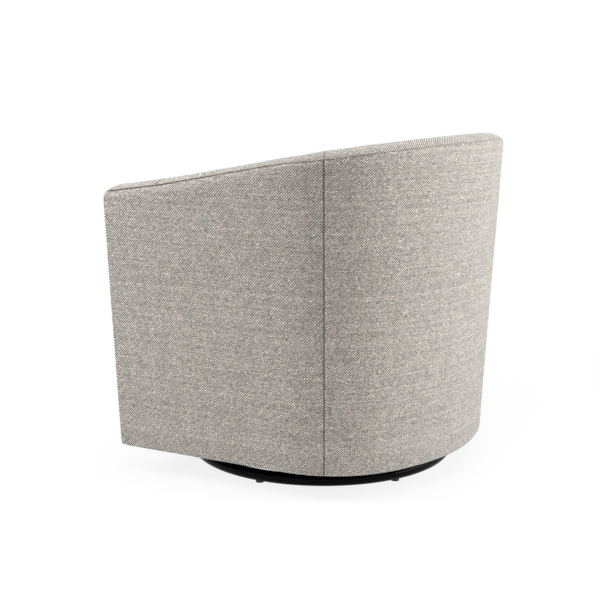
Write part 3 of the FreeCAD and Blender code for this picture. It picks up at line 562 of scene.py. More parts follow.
class Finish(Nodes):
    """One material's nodes round a Principled shader."""

    def __init__(self, name, **numbers):
        self.material = bpy.data.materials.new(name)
        super().__init__(self.material)
        inputs = {socket.replace("_", " "): value for socket, value in numbers.items()}
        self.shader = self.add("BsdfPrincipled", inputs)
        self.output = self.add("OutputMaterial", {"Surface": self.shader.outputs[0]})

    def vary(self, noise, amount):
        """Factor that goes up and down from 1 by the amount as a noise goes from 0 to 1."""
        return self.math("MULTIPLY_ADD", self.math("SUBTRACT", noise, 0.5), 2 * amount, 1.0)

    def vector(self, x, y, z=0.0):
        """Vector of three numbers."""
        return self.add("CombineXYZ", {0: x, 1: y, 2: z}).outputs[0]

    def noise(self, vector, scale, detail=2.0, dimensions="3D"):
        """Noise between 0 and 1."""
        inputs = {"Vector": vector, "Scale": scale, "Detail": detail}
        return self.add("TexNoise", inputs, noise_dimensions=dimensions).outputs["Fac"]

    def mix(self, share, first, second, blend="MIX"):
        """Mix of two colours."""
        node = self.add("Mix", {0: share}, data_type="RGBA", blend_type=blend, clamp_factor=True)
        for socket, value in ((6, first), (7, second)):
            if isinstance(value, bpy.types.NodeSocket):
                self.links.new(value, node.inputs[socket])
            else:
                node.inputs[socket].default_value = (*value, 1.0)
        return node.outputs[2]

    def scaled(self, tint, factor):
        """Colour times a number."""
        grey = self.add("CombineColor", {0: factor, 1: factor, 2: factor}).outputs[0]
        return self.mix(1.0, tint, grey, "MULTIPLY")

    def place(self):
        """Object coordinates."""
        return self.add("TexCoord", {}).outputs["Object"]

    def finish(self, tint, height=None, depth=0.0005, strength=1.0, roughness=None):
        """Links colour, roughness and bump to the shader. Returns the material."""
        self.links.new(tint, self.shader.inputs["Base Color"])
        if roughness is not None:
            self.links.new(roughness, self.shader.inputs["Roughness"])
        if height is not None:
            bump = self.add("Bump", {"Height": height, "Distance": depth, "Strength": strength})
            self.links.new(bump.outputs[0], self.shader.inputs["Normal"])
        return self.material


def tweed():
    """Twill of dark warp and light weft, two over two: warp i lies on top of weft j where i - j,
    counted in fours, is 0 or 1, so that the ribs rise to the right. Yarns vary along their length."""
    if "tweed" in finished:
        return finished["tweed"]
    cloth = bpy.context.scene.rocker_cloth
    finish = Finish("tweed_cloth", Roughness=0.92, Sheen_Weight=0.22, Sheen_Roughness=0.45)
    uv = finish.add("UVMap", {}, uv_map="cloth").outputs[0]
    # The yarns sway by up to half a millimetre.
    sway = finish.add("TexNoise", {"Vector": uv, "Scale": 260.0, "Detail": 1.0}, noise_dimensions="2D")
    sway = finish.add("VectorMath", {0: sway.outputs["Color"], 1: (0.5, 0.5, 0.5)}, operation="SUBTRACT")
    bent = finish.add("VectorMath", {0: sway.outputs[0], 1: (0.0011, 0.0011, 0.0), 2: uv},
                      operation="MULTIPLY_ADD")
    apart = finish.add("SeparateXYZ", {0: bent.outputs[0]})
    across = finish.math("DIVIDE", apart.outputs[0], cloth.pitch)
    along = finish.math("DIVIDE", apart.outputs[1], cloth.pitch)
    warp_number, weft_number = finish.math("FLOOR", across), finish.math("FLOOR", along)
    four = finish.math("FLOORED_MODULO", finish.math("SUBTRACT", warp_number, weft_number), 4.0)
    over = finish.math("LESS_THAN", four, 1.5)

    def yarn(own, other, base):
        """Colour of one set of yarns, lighter and darker from yarn to yarn and along each."""
        each = finish.add("TexWhiteNoise", {"W": own}, noise_dimensions="1D").outputs["Value"]
        place = finish.vector(finish.math("MULTIPLY", own, 3.7), finish.math("MULTIPLY", other, 0.16))
        slub = finish.vary(finish.noise(place, 1.0, 1.0, "2D"), cloth.slub)
        light = finish.math("MULTIPLY_ADD", each, 0.34, finish.math("SUBTRACT", slub, 0.17))
        return finish.scaled(base, finish.math("MAXIMUM", light, 0.25))

    tint = finish.mix(over, yarn(weft_number, across, cloth.weft), yarn(warp_number, along, cloth.warp))
    crossing = {"Vector": finish.vector(warp_number, weft_number)}
    cell = finish.add("TexWhiteNoise", crossing, noise_dimensions="2D").outputs["Value"]
    tint = finish.scaled(tint, finish.vary(cell, cloth.speckle))
    for scale, detail, amount in ((330.0, 1.0, cloth.fleck), (28.0, 2.0, cloth.blotch)):
        tint = finish.scaled(tint, finish.vary(finish.noise(uv, scale, detail, "2D"), amount))
    # Faint warm and cool patches, from a noise that is moved aside of the others.
    aside = finish.add("Mapping", {"Vector": uv, "Location": (3.1, 1.7, 0.0)}).outputs[0]
    patches = {"Value": finish.noise(aside, 36.0, 2.0, "2D"), "From Min": 0.35, "From Max": 0.65}
    warmth = finish.add("MapRange", patches).outputs[0]
    cool, warm = (0.984, 0.996, 1.0), (1.0, 0.984, 0.972)
    tint = finish.mix(1.0, tint, finish.mix(warmth, cool, warm), "MULTIPLY")
    # Each yarn is round: high in its middle and low at its edges, and painted shade darkens its edges and
    # leaves its middle lighter.
    top_yarn = finish.add("Mix", {0: over, 2: along, 3: across}, data_type="FLOAT").outputs[0]
    ridge = finish.math("SINE", finish.math("MULTIPLY", finish.math("FRACT", top_yarn), math.pi))
    tint = finish.scaled(tint, finish.math("MULTIPLY_ADD", ridge, 0.36, 0.76))
    # Painted shade deep in the seams, and a painted highlight where the value is below 0.
    painted_shading = finish.add("Attribute", {}, attribute_name="painted_shading").outputs["Fac"]
    tint = finish.scaled(tint, finish.math("MULTIPLY_ADD", painted_shading, -cloth.painted_shading, 1.0))
    finished["tweed"] = finish.finish(tint, ridge, 0.00045, 0.7)
    return finished["tweed"]


def outside_profile(station, drop_ends):
    """Depth and height of the outside cover's face for each row and column: the lip under the body, the
    hem's quarter circle, the upright wall, the shoulder's superellipse, the edge rolled in at the
    band's seam and the flange hidden behind it. Ends of the stretch are dropped by drop_ends."""
    covers = bpy.context.scene.rocker_covers
    low = bpy.context.scene.rocker_tub.low_height
    seam = band_seam(station) + covers.seam_gap / 2
    crest = below_crest("outer", station, 0.0)
    turn = quarter(9)[1:, None]
    lip = np.linspace(covers.lip, covers.hem_r, 5)[:, None]
    wall = np.linspace(0, 1, 64)[1:, None]
    rise = np.linspace(0, 1, 11)[1:, None] * (covers.shoulder - seam - covers.seam_r)
    lean = crest_lean(rise, covers.crown_out)
    roll = quarter(6)[1:, None]
    inner = np.linspace(0, 1, 4)[1:, None]
    hidden = np.maximum(covers.cover, lean[-1] + 2 * covers.seam_r)
    wall_low, wall_top = low + covers.hem_r, crest - covers.shoulder
    rolled_in = lean[-1] + covers.seam_r
    rows = [
        (lip, low + 0 * lip),
        (covers.hem_r * (1 - np.sin(turn)), low + covers.hem_r * (1 - np.cos(turn))),
        (0 * wall, wall_low + (wall_top - wall_low) * wall),
        (lean, wall_top + rise),
        (rolled_in - covers.seam_r * np.cos(roll), crest - seam - covers.seam_r * (1 - np.sin(roll))),
        (rolled_in + (hidden - rolled_in) * inner, crest - seam + 0 * inner),
    ]
    depth, height = (np.concatenate([part + 0 * crest for part in parts]) for parts in zip(*rows))
    on_face = np.zeros((len(depth), 1), bool)
    on_face[len(lip):len(depth) - len(roll) - len(inner)] = True
    room = np.maximum(covers.cover, depth + 2 * covers.seam_r) - depth
    free = np.arange(len(depth))[:, None] >= len(lip)
    return depth + np.where(free, np.minimum(drop_ends, room), 0), height, on_face, crest - seam, hidden


def from_arm_front(station, height):
    """Length along the U from the nearer arm front."""
    return np.minimum(tub_run("outer", station, height), tub_run("outer", last_station - station, height))


def outside_cover(name, begin, end, seed):
    """One stretch of the outside cover, from the lip under the body up to the band's seam. The cloth
    coordinates count from the middle of the back, and on the arms from 0.25 m behind the front."""
    covers = bpy.context.scene.rocker_covers
    station, away = stretch_stations("outer", begin, end, step=0.0026, radius=0.005)
    from_front = from_arm_front(station, wall_level)
    # An arm's front end isn't rolled in like the seam at its other end.
    away = np.where(from_front < 0.05, 0.05, away)
    depth, height, on_face, top, hidden = outside_profile(station, roll_off(away, covers.upright_r))
    low = bpy.context.scene.rocker_tub.low_height
    # The round lower corner in front lifts the cloth, less and less up to 60 mm above the edge.
    lifted = roll_off(from_front + covers.cover, covers.corner_r)
    height = height + lifted * np.clip(1 - (height - low) / 0.06, 0, 1)
    run = tub_run("outer", station, height)
    centre = tub_run("outer", (begin + end) / 2, height)
    if begin == 0.0:
        centre = 0.25 + 0 * centre
    if end == last_station:
        centre = tub_run("outer", last_station, height) - 0.25
    uv = joined(run - centre, height)
    wave = covers.wave * soft_wave(uv[..., 0], uv[..., 1] * 0.45, 0.11, seed)
    calm = np.clip(np.minimum(away, top - height) / 0.03, 0, 1)
    bump = wave * calm - pucker(height, away + 0 * height, seed)
    bump = bump - pucker(run, np.maximum(top - height, 0), seed + 1)
    depth = depth - np.where(on_face, bump, 0)
    face = tub_point("outer", station, height, depth, front_behind_panel())
    lining_depth = np.maximum(covers.cover, np.minimum(depth + 2 * covers.seam_r, hidden)) + 0.0001
    lining_depth = np.where(height < low + 0.004, np.maximum(lining_depth, depth), lining_depth)
    lining_height = np.clip(height, low + covers.cover / 2, top - 0.0002)
    lining = tub_point("outer", station, lining_height, lining_depth, front_behind_panel())
    # Painted shade along the upright seams and, unevenly, under the band's seam.
    painted_shading = 1.8 * np.exp(-away / 0.001)
    painted_shading = painted_shading + painted_stitch_shade(uv[..., 0], top - covers.seam_gap / 2 - height, seed + 2)
    # A painted highlight lightens the back's edge 3 mm beside the upright seams.
    painted_highlight = 0.3 if name == "outside_back" else 0.0
    painted_shading = np.clip(painted_shading, 0, 1) - painted_highlight * np.exp(-((away - 0.0030) / 0.0013) ** 2)
    piece = make_piece(name + "_cover", shell(face, lining, uv, painted_shading), tweed())
    cover_piece(piece, name)
    return piece


def front_behind_panel():
    """Front of everything that lies behind the front covers, before the swivel axis."""
    covers = bpy.context.scene.rocker_covers
    return -bpy.context.scene.rocker_tub.front + covers.cover + covers.front_gap


class ROCKER_OT_outside_covers(Operator):
    """Outside covers of the arms and the back, rolled under the body and seamed upright"""

    bl_idname = "rocker.outside_covers"
    bl_label = "Outside covers"

    def execute(self, context):
        seam = context.scene.rocker_tub.seam_station
        outside_cover("outside_arm_right", 0.0, seam, 11)
        outside_cover("outside_back", seam, last_station - seam, 21)
        outside_cover("outside_arm_left", last_station - seam, last_station, 31)
        return {"FINISHED"}


def band_side(seam, half):
    """One half of the band's section, from the hidden flange at its seam up to the crown: distance in
    from the wall's face and depth below the crest, as rows by columns."""
    covers = bpy.context.scene.rocker_covers
    power = covers.crest_power
    start = np.arcsin(((covers.shoulder - seam + covers.seam_r) / covers.shoulder) ** (power / 2))
    turn = start + (math.pi / 2 - start) * np.linspace(0, 1, 17)[:, None]
    lean = half * (1 - np.maximum(np.cos(turn), 0) ** (2 / power))
    drop = covers.shoulder * (1 - np.sin(turn) ** (2 / power))
    roll = quarter(6)[:0:-1, None]
    first = lean[:1]
    hidden = np.maximum(covers.cover, first + 2 * covers.seam_r)
    inward = [hidden, (hidden + first + covers.seam_r) / 2, first + covers.seam_r * (1 - np.cos(roll)), lean]
    below = [seam[None], seam[None], seam - covers.seam_r * (1 - np.sin(roll)), drop]
    return np.concatenate(inward), np.concatenate(below)


def band_stretch(name, begin, end, seed):
    """One stretch of the crest band: across the crest it is a superellipse from the outer seam over the
    crown to the inner seam. Cross seams are rolled in, and at the arm front it rounds down to its seam."""
    tub, covers = bpy.context.scene.rocker_tub, bpy.context.scene.rocker_covers
    station, away = stretch_stations("outer", begin, end, step=0.0022, radius=covers.seam_r)
    tip = begin == 0.0 or end == last_station
    if tip:
        more = covers.tip_round * (1 - np.cos(quarter(16))) / tub_run("outer", 1.0, crest_level)
        more, seam = (more, end) if begin == 0.0 else (last_station - more, begin)
        kept = from_arm_front(station, crest_level) > covers.tip_round
        station = np.unique(np.concatenate([station[kept], more]))
        away = np.abs(tub_run("outer", station, crest_level) - tub_run("outer", seam, crest_level))
    at_front = from_arm_front(station, crest_level)
    seam_out = band_seam(station) - covers.seam_gap / 2
    seam_in = covers.band_depth - covers.seam_gap / 2 + 0 * station
    outer, inner = band_side(seam_out, covers.crown_out), band_side(seam_in, covers.crown_in)
    width = covers.crown_out + covers.crown_in
    across = np.concatenate([outer[0], width - inner[0][-2::-1]])
    drop = np.concatenate([outer[1], inner[1][-2::-1]])
    edge = np.minimum(across, width - across)
    share = across / width
    base = seam_out + (seam_in - seam_out) * share
    slope_in, slope_drop = np.gradient(across, axis=0), np.gradient(drop, axis=0)
    steep = np.hypot(slope_in, slope_drop)
    run = tub_run("outer", station, crest_level)
    # Waves and puckers are left out of the cloth rolled in at the long seams.
    shown = drop < base * 0.9
    lift = covers.wave * soft_wave(run, share * 0.08, 0.09, seed) - pucker(run, edge, seed + 1)
    lift = np.where(shown, lift - pucker(share * 0.16, away, seed + 2), 0)
    lift = lift - roll_off(away, covers.seam_r) * (drop < base * 0.98)
    below = drop + covers.crown_sink * np.clip(1 - drop / base, 0, 1)
    if tip:
        # A superellipse from nearly flat at the tip's end up to the full section.
        power = 2.3
        part = np.clip(at_front / covers.tip_round, 0, 1)
        part = 0.12 + 0.88 * (1 - (1 - part) ** power) ** (1 / power)
        below = base - (base - below) * part
        lift = lift * part
    below = np.where(drop < base * 0.98, np.minimum(below - slope_in / steep * lift, base), below)
    inward = share - slope_drop / steep * lift / width
    side_round = roll_off(at_front + covers.tip_back, covers.front_r) if tip else 0 * at_front
    front = -tub.front + covers.tip_back

    def across_wall(portion, depth):
        """Point a portion of the way across the wall, at a depth below the crest there, whose height
        is found in five steps."""
        z = crest_height(tub_point("outer", station, 0.65, 0.0, front)[..., 1]) - depth
        for _ in range(4):
            out = tub_point("outer", station, z, side_round, front)
            room = tub_point("inner", station, z, -side_round, front)
            point = out + (room - out) * portion[..., None]
            z = crest_height(point[..., 1]) - depth
        point[..., 2] = z
        return point

    face = across_wall(inward, below)
    rows = len(drop)
    hidden = np.clip(across, np.maximum(across[0], 0), width - covers.cover) / width
    # The hidden side is level with the outer seam near the outside, and further in with the inner one.
    outside = (across < 0.0095) | (np.arange(rows)[:, None] < 9)
    lining = across_wall(hidden, np.where(outside, seam_out, np.minimum(base, covers.band_depth)))
    lengths = np.hypot(np.diff(across, axis=0), np.diff(drop, axis=0))
    girth = np.concatenate([0 * across[:1], np.cumsum(lengths, axis=0)])
    uv = joined(run - run.mean(), girth - girth[rows // 2] + 0.7)
    # Painted shade at the cross seams and, unevenly, along the long seams.
    painted_shading = np.exp(-(away + 0 * share) / seam_shade) + painted_stitch_shade(run, base - below, seed + 2)
    piece = make_piece(name + "_roll", shell(face, lining, uv, np.clip(painted_shading, 0, 1)), tweed())
    cover_piece(piece, name)
    return piece


class ROCKER_OT_crest_band(Operator):
    """Padded band over the crest, sewn from five stretches"""

    bl_idname = "rocker.crest_band"
    bl_label = "Crest band"

    def execute(self, context):
        tip, seam = context.scene.rocker_tub.tip_station, context.scene.rocker_tub.seam_station
        band_stretch("band_tip_right", 0.0, tip, 41)
        band_stretch("band_arm_right", tip, seam, 42)
        band_stretch("band_back", seam, last_station - seam, 43)
        band_stretch("band_arm_left", last_station - seam, last_station - tip, 44)
        band_stretch("band_tip_left", last_station - tip, last_station, 45)
        return {"FINISHED"}


def front_cover(name, left_edge, right_edge, top, side_r, top_r, top_fall, raised, seed):
    """Upright cover of the front, between a left and a right edge that lean. Its sides are rolled back
    to the cover's depth, its top by the top's fall, and its bottom follows the corner's quarter circle;
    the middle is crowned. The ends of the top edge (left, right) are raised a little."""
    tub, covers = bpy.context.scene.rocker_tub, bpy.context.scene.rocker_covers
    lifted, clear = roll_off(covers.cover, covers.corner_r), 0.0004
    bottom = tub.low_height + lifted + clear
    width = right_edge(top) - left_edge(top)
    column = rolled_steps(width, side_r, step=0.004)
    row = rolled_steps(top - bottom, max(covers.corner_r, top_r), step=0.006)
    u, v = column / width, (row / (top - bottom))[:, None]
    z = (bottom + row)[:, None] + (raised[0] + (raised[1] - raised[0]) * u) * v ** 2
    x = left_edge(z) + (right_edge(z) - left_edge(z)) * u
    full = covers.cover - 0.0002
    side = full * roll_off(np.minimum(column, width - column), side_r) / side_r
    ends = np.maximum(np.minimum(roll_off(row + lifted, covers.corner_r), full),
                      top_fall * roll_off(row[-1] - row, top_r) / top_r)[:, None]
    drop = side + ends - side * ends / full
    crown = covers.front_crown * (1 - (2 * u - 1) ** 4) * (1 - (2 * v - 1) ** 6)
    inside = np.minimum(np.minimum(column, width - column), np.minimum(row, row[-1] - row)[:, None])
    crown = crown + covers.wave * soft_wave(x, z * 0.5, 0.1, seed) * np.clip(inside / 0.02, 0, 1)
    front = -tub.front + swivel_axis_y
    face = joined(x, front + drop - crown, z)
    lining = face.copy()
    lining[..., 1] = front + covers.cover
    uv = joined(x, z)
    # Turned in under the body: a flat lip, then the corner's curve up to the cover's back.
    tuck = np.concatenate([np.linspace(covers.lip, covers.corner_r, 4),
                           np.linspace(covers.corner_r, covers.cover, 9)[1:-1]])[:, None]
    tuck_z = tub.low_height + clear + roll_off(tuck, covers.corner_r)
    aside = [0.009 if end else 0.0 for end in raised]
    left, right = left_edge(bottom) + aside[0], right_edge(bottom) - aside[1]
    across = left + (right - left) * u
    under = joined(across, front + tuck, tuck_z)
    face = np.concatenate([under, face])
    lining = np.concatenate([under + (0, 0, 0.0012), lining])
    uv = np.concatenate([joined(across, bottom - tuck), uv])
    piece = make_piece(name + "_cover", shell(face, lining, uv), tweed())
    cover_piece(piece, name)
    return piece


class ROCKER_OT_front_covers(Operator):
    """Covers of the two arm fronts and the panel under the seat"""

    bl_idname = "rocker.front_covers"
    bl_label = "Front covers"

    def execute(self, context):
        scene = context.scene
        tub, covers, seat = scene.rocker_tub, scene.rocker_covers, scene.rocker_cushion
        top = float(crest_height(swivel_axis_y - tub.front)) - covers.band_depth - covers.seam_gap / 2
        raised = covers.band_depth - covers.band_arm
        shoulder = top + covers.band_depth + covers.seam_gap / 2 - covers.shoulder

        def outer_x(z):
            return tub_outline("outer", z)[0] - crest_lean(z - shoulder, covers.crown_out)

        def inner_x(z):
            return tub_outline("inner", z)[0] + crest_lean(z - shoulder, covers.crown_in)

        arm = {"top": top, "side_r": covers.front_r, "top_r": 0.008, "top_fall": covers.tip_back}
        front_cover("arm_front_right", inner_x, outer_x, raised=(0.0, raised), seed=51, **arm)
        front_cover("arm_front_left", lambda z: -outer_x(z), lambda z: -inner_x(z),
                    raised=(raised, 0.0), seed=52, **arm)
        gap = covers.front_gap
        front_cover("front_panel", lambda z: gap - inner_x(z), lambda z: inner_x(z) - gap,
                    top=seat.low - gap, side_r=0.003, top_r=0.006, top_fall=0.0055,
                    raised=(0.0, 0.0), seed=53)
        return {"FINISHED"}


def inside_pad(name, begin, end):
    """Padded inside of an arm or the back: the face starts a little behind its final place, and filling
    swells it out between the held seams. Its hidden side follows the wall's inside."""
    covers = bpy.context.scene.rocker_covers
    station, away = stretch_stations("inner", begin, end, step=0.006, radius=covers.seam_r)
    seam = covers.band_depth + covers.seam_gap / 2
    crest = below_crest("inner", station, 0.0)
    rise = np.linspace(0, covers.shoulder - seam - covers.seam_r, 6)[1:]
    lean = crest_lean(rise, covers.crown_in)
    roll = quarter(5)[1:]
    wall = np.linspace(0, 1, 50)
    bottom, wall_top = covers.pad_low, crest - covers.shoulder
    height = np.concatenate([
        bottom + (wall_top - bottom) * wall[:, None],
        wall_top + rise[:, None],
        crest - seam - covers.seam_r + covers.seam_r * np.sin(roll)[:, None],
    ])
    back = np.concatenate([0 * wall, lean, lean[-1] + covers.seam_r * (1 - np.cos(roll))])
    back = back[:, None] + 0 * station
    portion = (height - bottom) / (crest - seam - bottom)
    # The set-back fades out over 30 mm at the upright seams, and over the lowest and highest tenth.
    hollow = smooth_step(np.minimum(away / 0.03, np.minimum(portion / 0.12, (1 - portion) / 0.1)))
    back = back + covers.pad_rest * hollow + roll_off(away, covers.seam_r)
    face = tub_point("inner", station, height, -back, front_behind_panel())
    # The hidden side steps in near the top, where the frame's top rail lies behind it.
    rail_drop, rail_step, rail_depth = 0.052, 0.015, 0.0715
    top_notch = np.clip((height - (crest - rail_drop)) / rail_step, 0, 1)
    hidden_depth = covers.pad_back + (rail_depth - covers.pad_back) * top_notch
    hidden_height = np.minimum(height, crest - seam - 0.0001)
    lining = tub_point("outer", station, hidden_height, hidden_depth + 0.0001, front_behind_panel())
    run, centre = tub_run("inner", station, height), tub_run("inner", (begin + end) / 2, height)
    uv = joined(centre - run, height)
    # Painted shade along the upright seams and under the band's seam.
    painted_shading = np.exp(-away / 0.0015) + np.exp(-np.maximum(crest - seam - height, 0) / 0.0015)
    painted_shading = np.clip(painted_shading, 0, 1)[:, ::-1]
    face, lining, uv = face[:, ::-1], lining[:, ::-1], uv[:, ::-1]
    piece = make_piece(name + "_pad", shell(face, lining, uv, painted_shading), tweed())
    # All of the face is free to swell, apart from the rows and columns next to the seams.
    free_face = face[2:-4, 2:-2].reshape(-1, 3)
    fill_cover(piece, ~same_points(mesh_points(piece.data), free_face), covers.pad_reach)
    subdivide(piece)
    cover_piece(piece, name)
    return piece


def same_points(points, others):
    """Which points are also in another list, told apart by a hundredth of a millimetre."""
    def keys(array):
        x, y, z = np.round(array.T * 1e5).astype(np.int64)
        return x * 73856093 ^ y * 19349663 ^ z * 83492791
    others = others.astype(np.float32).astype(float)
    return np.isin(keys(points), keys(others))


class ROCKER_OT_inside_pads(Operator):
    """Padded insides of the arms and the back"""

    bl_idname = "rocker.inside_pads"
    bl_label = "Inside pads"

    def execute(self, context):
        seam = context.scene.rocker_tub.seam_station
        inside_pad("inside_arm_right", 0.0, seam)
        inside_pad("inside_back", seam, last_station - seam)
        inside_pad("inside_arm_left", last_station - seam, last_station)
        return {"FINISHED"}


def seat_plan(face, height, inset, front, corner_r, sides, ends):
    """Closed line round a seat: the U from the right side round the back to the left, then the front
    with two round corners, as sides + ends points on each of its four parts in turn."""
    outline_x = tub_outline(face, height, inset)[0]
    station = np.linspace(0.0, last_station, 4001)
    back_line = tub_point(face, station, height, inset, -front + corner_r)[:, :2]
    turn = quarter(40)[1:]
    y0 = -front + corner_r + swivel_axis_y
    left = np.stack([-outline_x + corner_r * (1 - np.cos(turn)), y0 - corner_r * np.sin(turn)], axis=-1)
    across = np.linspace(-outline_x + corner_r, outline_x - corner_r, 200)[1:-1]
    flat = np.stack([across, np.full_like(across, y0 - corner_r)], axis=-1)
    right = left[::-1] * (-1, 1)
    line = np.concatenate([back_line, left, flat, right])
    # Four parts: right side, back, left side, front. They meet at the stations nearest 1.5 and its
    # mirror, and about halfway round the two front corners.
    run = np.concatenate([[0], np.cumsum(np.linalg.norm(np.diff(line, axis=0, append=line[:1]), axis=1))])
    closed = np.concatenate([line, line[:1]])
    half_turn, last = int(np.argmin(np.abs(station - 1.5))), len(station) - 1
    left_corner = run[last + 20]
    right_corner = run[-1] - (left_corner - run[last])
    starts = [right_corner - run[-1], run[half_turn], run[last - half_turn], left_corner, right_corner]
    counts = [sides, ends, sides, ends]
    places = np.concatenate([np.linspace(a, b, count, endpoint=False)
                             for a, b, count in zip(starts[:-1], starts[1:], counts)])
    places = np.mod(places, run[-1])
    return on_line(places, run, closed), places


def fill_plan(line, sides, ends):
    """Grid inside a closed line of four parts, right side, back, left side and front: the Coons patch,
    which adds the two blends of opposite parts and takes away the blend of the corners."""
    closed = np.concatenate([line, line[:1]])
    right = closed[:sides + 1]
    back = closed[sides:sides + ends + 1]
    left = closed[sides + ends:2 * sides + ends + 1][::-1]
    front = closed[2 * sides + ends:]
    a = np.linspace(0, 1, ends + 1)[None, :, None]
    b = np.linspace(0, 1, sides + 1)[:, None, None]
    back_left_to_right, front_left_to_right = back[::-1][None], front[None]
    rows = (1 - b) * front_left_to_right + b * back_left_to_right
    columns = (1 - a) * left[:, None] + a * right[:, None]
    corners = ((1 - a) * (1 - b) * front[0] + a * (1 - b) * front[-1]
               + (1 - a) * b * back[-1] + a * b * back[0])
    return rows + columns - corners


def slab(name, line, run, bottom, top, sides, ends, finish, border_rows, crown=0.0, bulge=0.0):
    """Closed pad on a plan: top and bottom grids inside the line and an upright border round it. The
    crown raises the middle and the bulge fills out the border, both by parabolas."""
    grid = fill_plan(line, sides, ends)
    rise_u = np.linspace(-1, 1, ends + 1)[None, :]
    rise_v = np.linspace(-1, 1, sides + 1)[:, None]
    dome = (1 - rise_u ** 2) * (1 - rise_v ** 2)
    upper = np.dstack([grid, top + crown * dome])
    lower = np.dstack([grid, np.full(dome.shape, bottom)])
    share = np.linspace(0, 1, border_rows)
    outward = unit(line - line.mean(axis=0))
    swell = bulge * 4 * share * (1 - share)
    # Seen from outside, walking round from the right side over the back to the left goes to the right.
    border_xy = line[None] + outward[None] * swell[:, None, None]
    border_z = (bottom + (top - bottom) * share)[:, None]
    border = np.dstack([border_xy, np.broadcast_to(border_z, border_xy.shape[:2])])
    border_uv = joined(run[None], border_z)
    patches = [patch(upper, grid), patch(lower[:, ::-1], (grid * (-1, 1))[:, ::-1])]
    return make_piece(name, patches + [patch(border, border_uv, closed=True)], finish), border


class ROCKER_OT_seat_cushion(Operator):
    """Loose seat cushion with a border, filled and crowned, with plain seams round top and bottom"""

    bl_idname = "rocker.seat_cushion"
    bl_label = "Seat cushion"

    def execute(self, context):
        seat = context.scene.rocker_cushion
        # Cells along each side, and along the back and the front.
        sides, ends = 74, 84
        middle = seat.low + seat.border * 0.4
        line, run = seat_plan("inner", middle, seat.inset, seat.front, seat.corner_r, sides, ends)
        top = seat.low + seat.border
        crown = seat.crown + 0.0
        piece, border = slab("seat_cushion", line, run, seat.low, top, sides, ends, tweed(),
                             border_rows=18, crown=crown, bulge=0.002)
        points = mesh_points(piece.data)
        seam = same_points(points, np.concatenate([border[0], border[-1]]))
        # Every second point of the line is near enough.
        to_line = np.sqrt(((points[:, None, :2] - line[None, ::2]) ** 2).sum(axis=2).min(axis=1))
        to_seam = np.hypot(to_line, np.minimum(np.abs(points[:, 2] - seat.low), np.abs(points[:, 2] - top)))
        reach = seat.seam_reach + (seat.reach - seat.seam_reach) * smooth_step(to_seam / 0.05)
        piece.vertex_groups.new(name="seam").add(np.flatnonzero(seam).tolist(), 1.0, "REPLACE")
        fill_cover(piece, points[:, 2] < seat.low + 1e-4, reach)
        subdivide(piece)
        # The seam's weight, which the subdivision has spread to the points beside it.
        vertices = piece.data.vertices
        depth = np.array([vertex.groups[0].weight if vertex.groups else 0.0 for vertex in vertices])
        normals = np.empty(len(depth) * 3, np.float32)
        vertices.foreach_get("normal", normals)
        points = mesh_points(piece.data) - normals.reshape(-1, 3) * (seat.seam_depth * depth)[:, None]
        points[:, 2] = np.maximum(points[:, 2], seat.low)
        set_points(piece.data, points)
        # Painted shade along the cushion's seams, by the seam's weight.
        piece.data.attributes["painted_shading"].data.foreach_set("value", (0.9 * depth).astype(np.float32))
        piece.vertex_groups.clear()
        cover_piece(piece, ["cushion_cover", "cushion_core"])
        return {"FINISHED"}


def plain_finish(name, tint, scale, variation, height_scale, depth, stretch=(1.0, 1.0, 1.0), **numbers):
    """Finish of a plain material: its colour and roughness vary with stretched noise of a scale, and
    noise of the height scale gives a bump of a depth."""
    finish = Finish(name, **numbers)
    place = finish.add("Mapping", {"Vector": finish.place(), "Scale": stretch}).outputs[0]
    patches = finish.noise(place, scale, 4.0)
    tone = finish.vary(patches, variation)
    grain = finish.noise(place, height_scale, 3.0)
    rough = numbers.get("Roughness", 0.5)
    rough = finish.math("MULTIPLY_ADD", finish.math("SUBTRACT", patches, 0.5), 0.3 * rough, rough)
    return finish.finish(finish.scaled(tuple(tint), tone), grain, depth, 0.6, rough)


def wood_finish(name, tint, stretch, rings):
    """Wood: growth rings as a stretched wave pattern with fine pores along the grain."""
    finish = Finish(name, Roughness=0.62)
    place = finish.add("Mapping", {"Vector": finish.place(), "Scale": stretch}).outputs[0]
    wave = finish.add("TexWave", {"Vector": place, "Scale": rings, "Distortion": 6.0, "Detail": 3.0,
                                  "Detail Scale": 1.4}, bands_direction="DIAGONAL").outputs["Fac"]
    pores = finish.noise(place, 700.0, 2.0)
    tone = finish.math("MULTIPLY_ADD", wave, 0.30, finish.math("MULTIPLY_ADD", pores, 0.25, 0.68))
    return finish.finish(finish.scaled(tuple(tint), tone), pores, 0.0002, 0.5)


class ROCKER_OT_deck_felt(Operator):
    """Felt pad over the seat springs"""

    bl_idname = "rocker.deck_felt"
    bl_label = "Deck felt"

    def execute(self, context):
        cloth = context.scene.rocker_cloth
        low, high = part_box("deck_pad")
        sides, ends = 30, 34
        line, run = seat_plan("inner", low.z, inset=0.001, front=-front_behind_panel(), corner_r=0.003,
                              sides=sides, ends=ends)
        felt = plain_finish("felt", cloth.felt, 900.0, 0.35, 1400.0, 0.0008, Roughness=0.95, Sheen_Weight=0.3)
        piece, _ = slab("deck_felt", line, run, low.z, high.z, sides, ends, felt, border_rows=4)
        sharpen(piece)
        cover_piece(piece, "deck_pad")
        return {"FINISHED"}


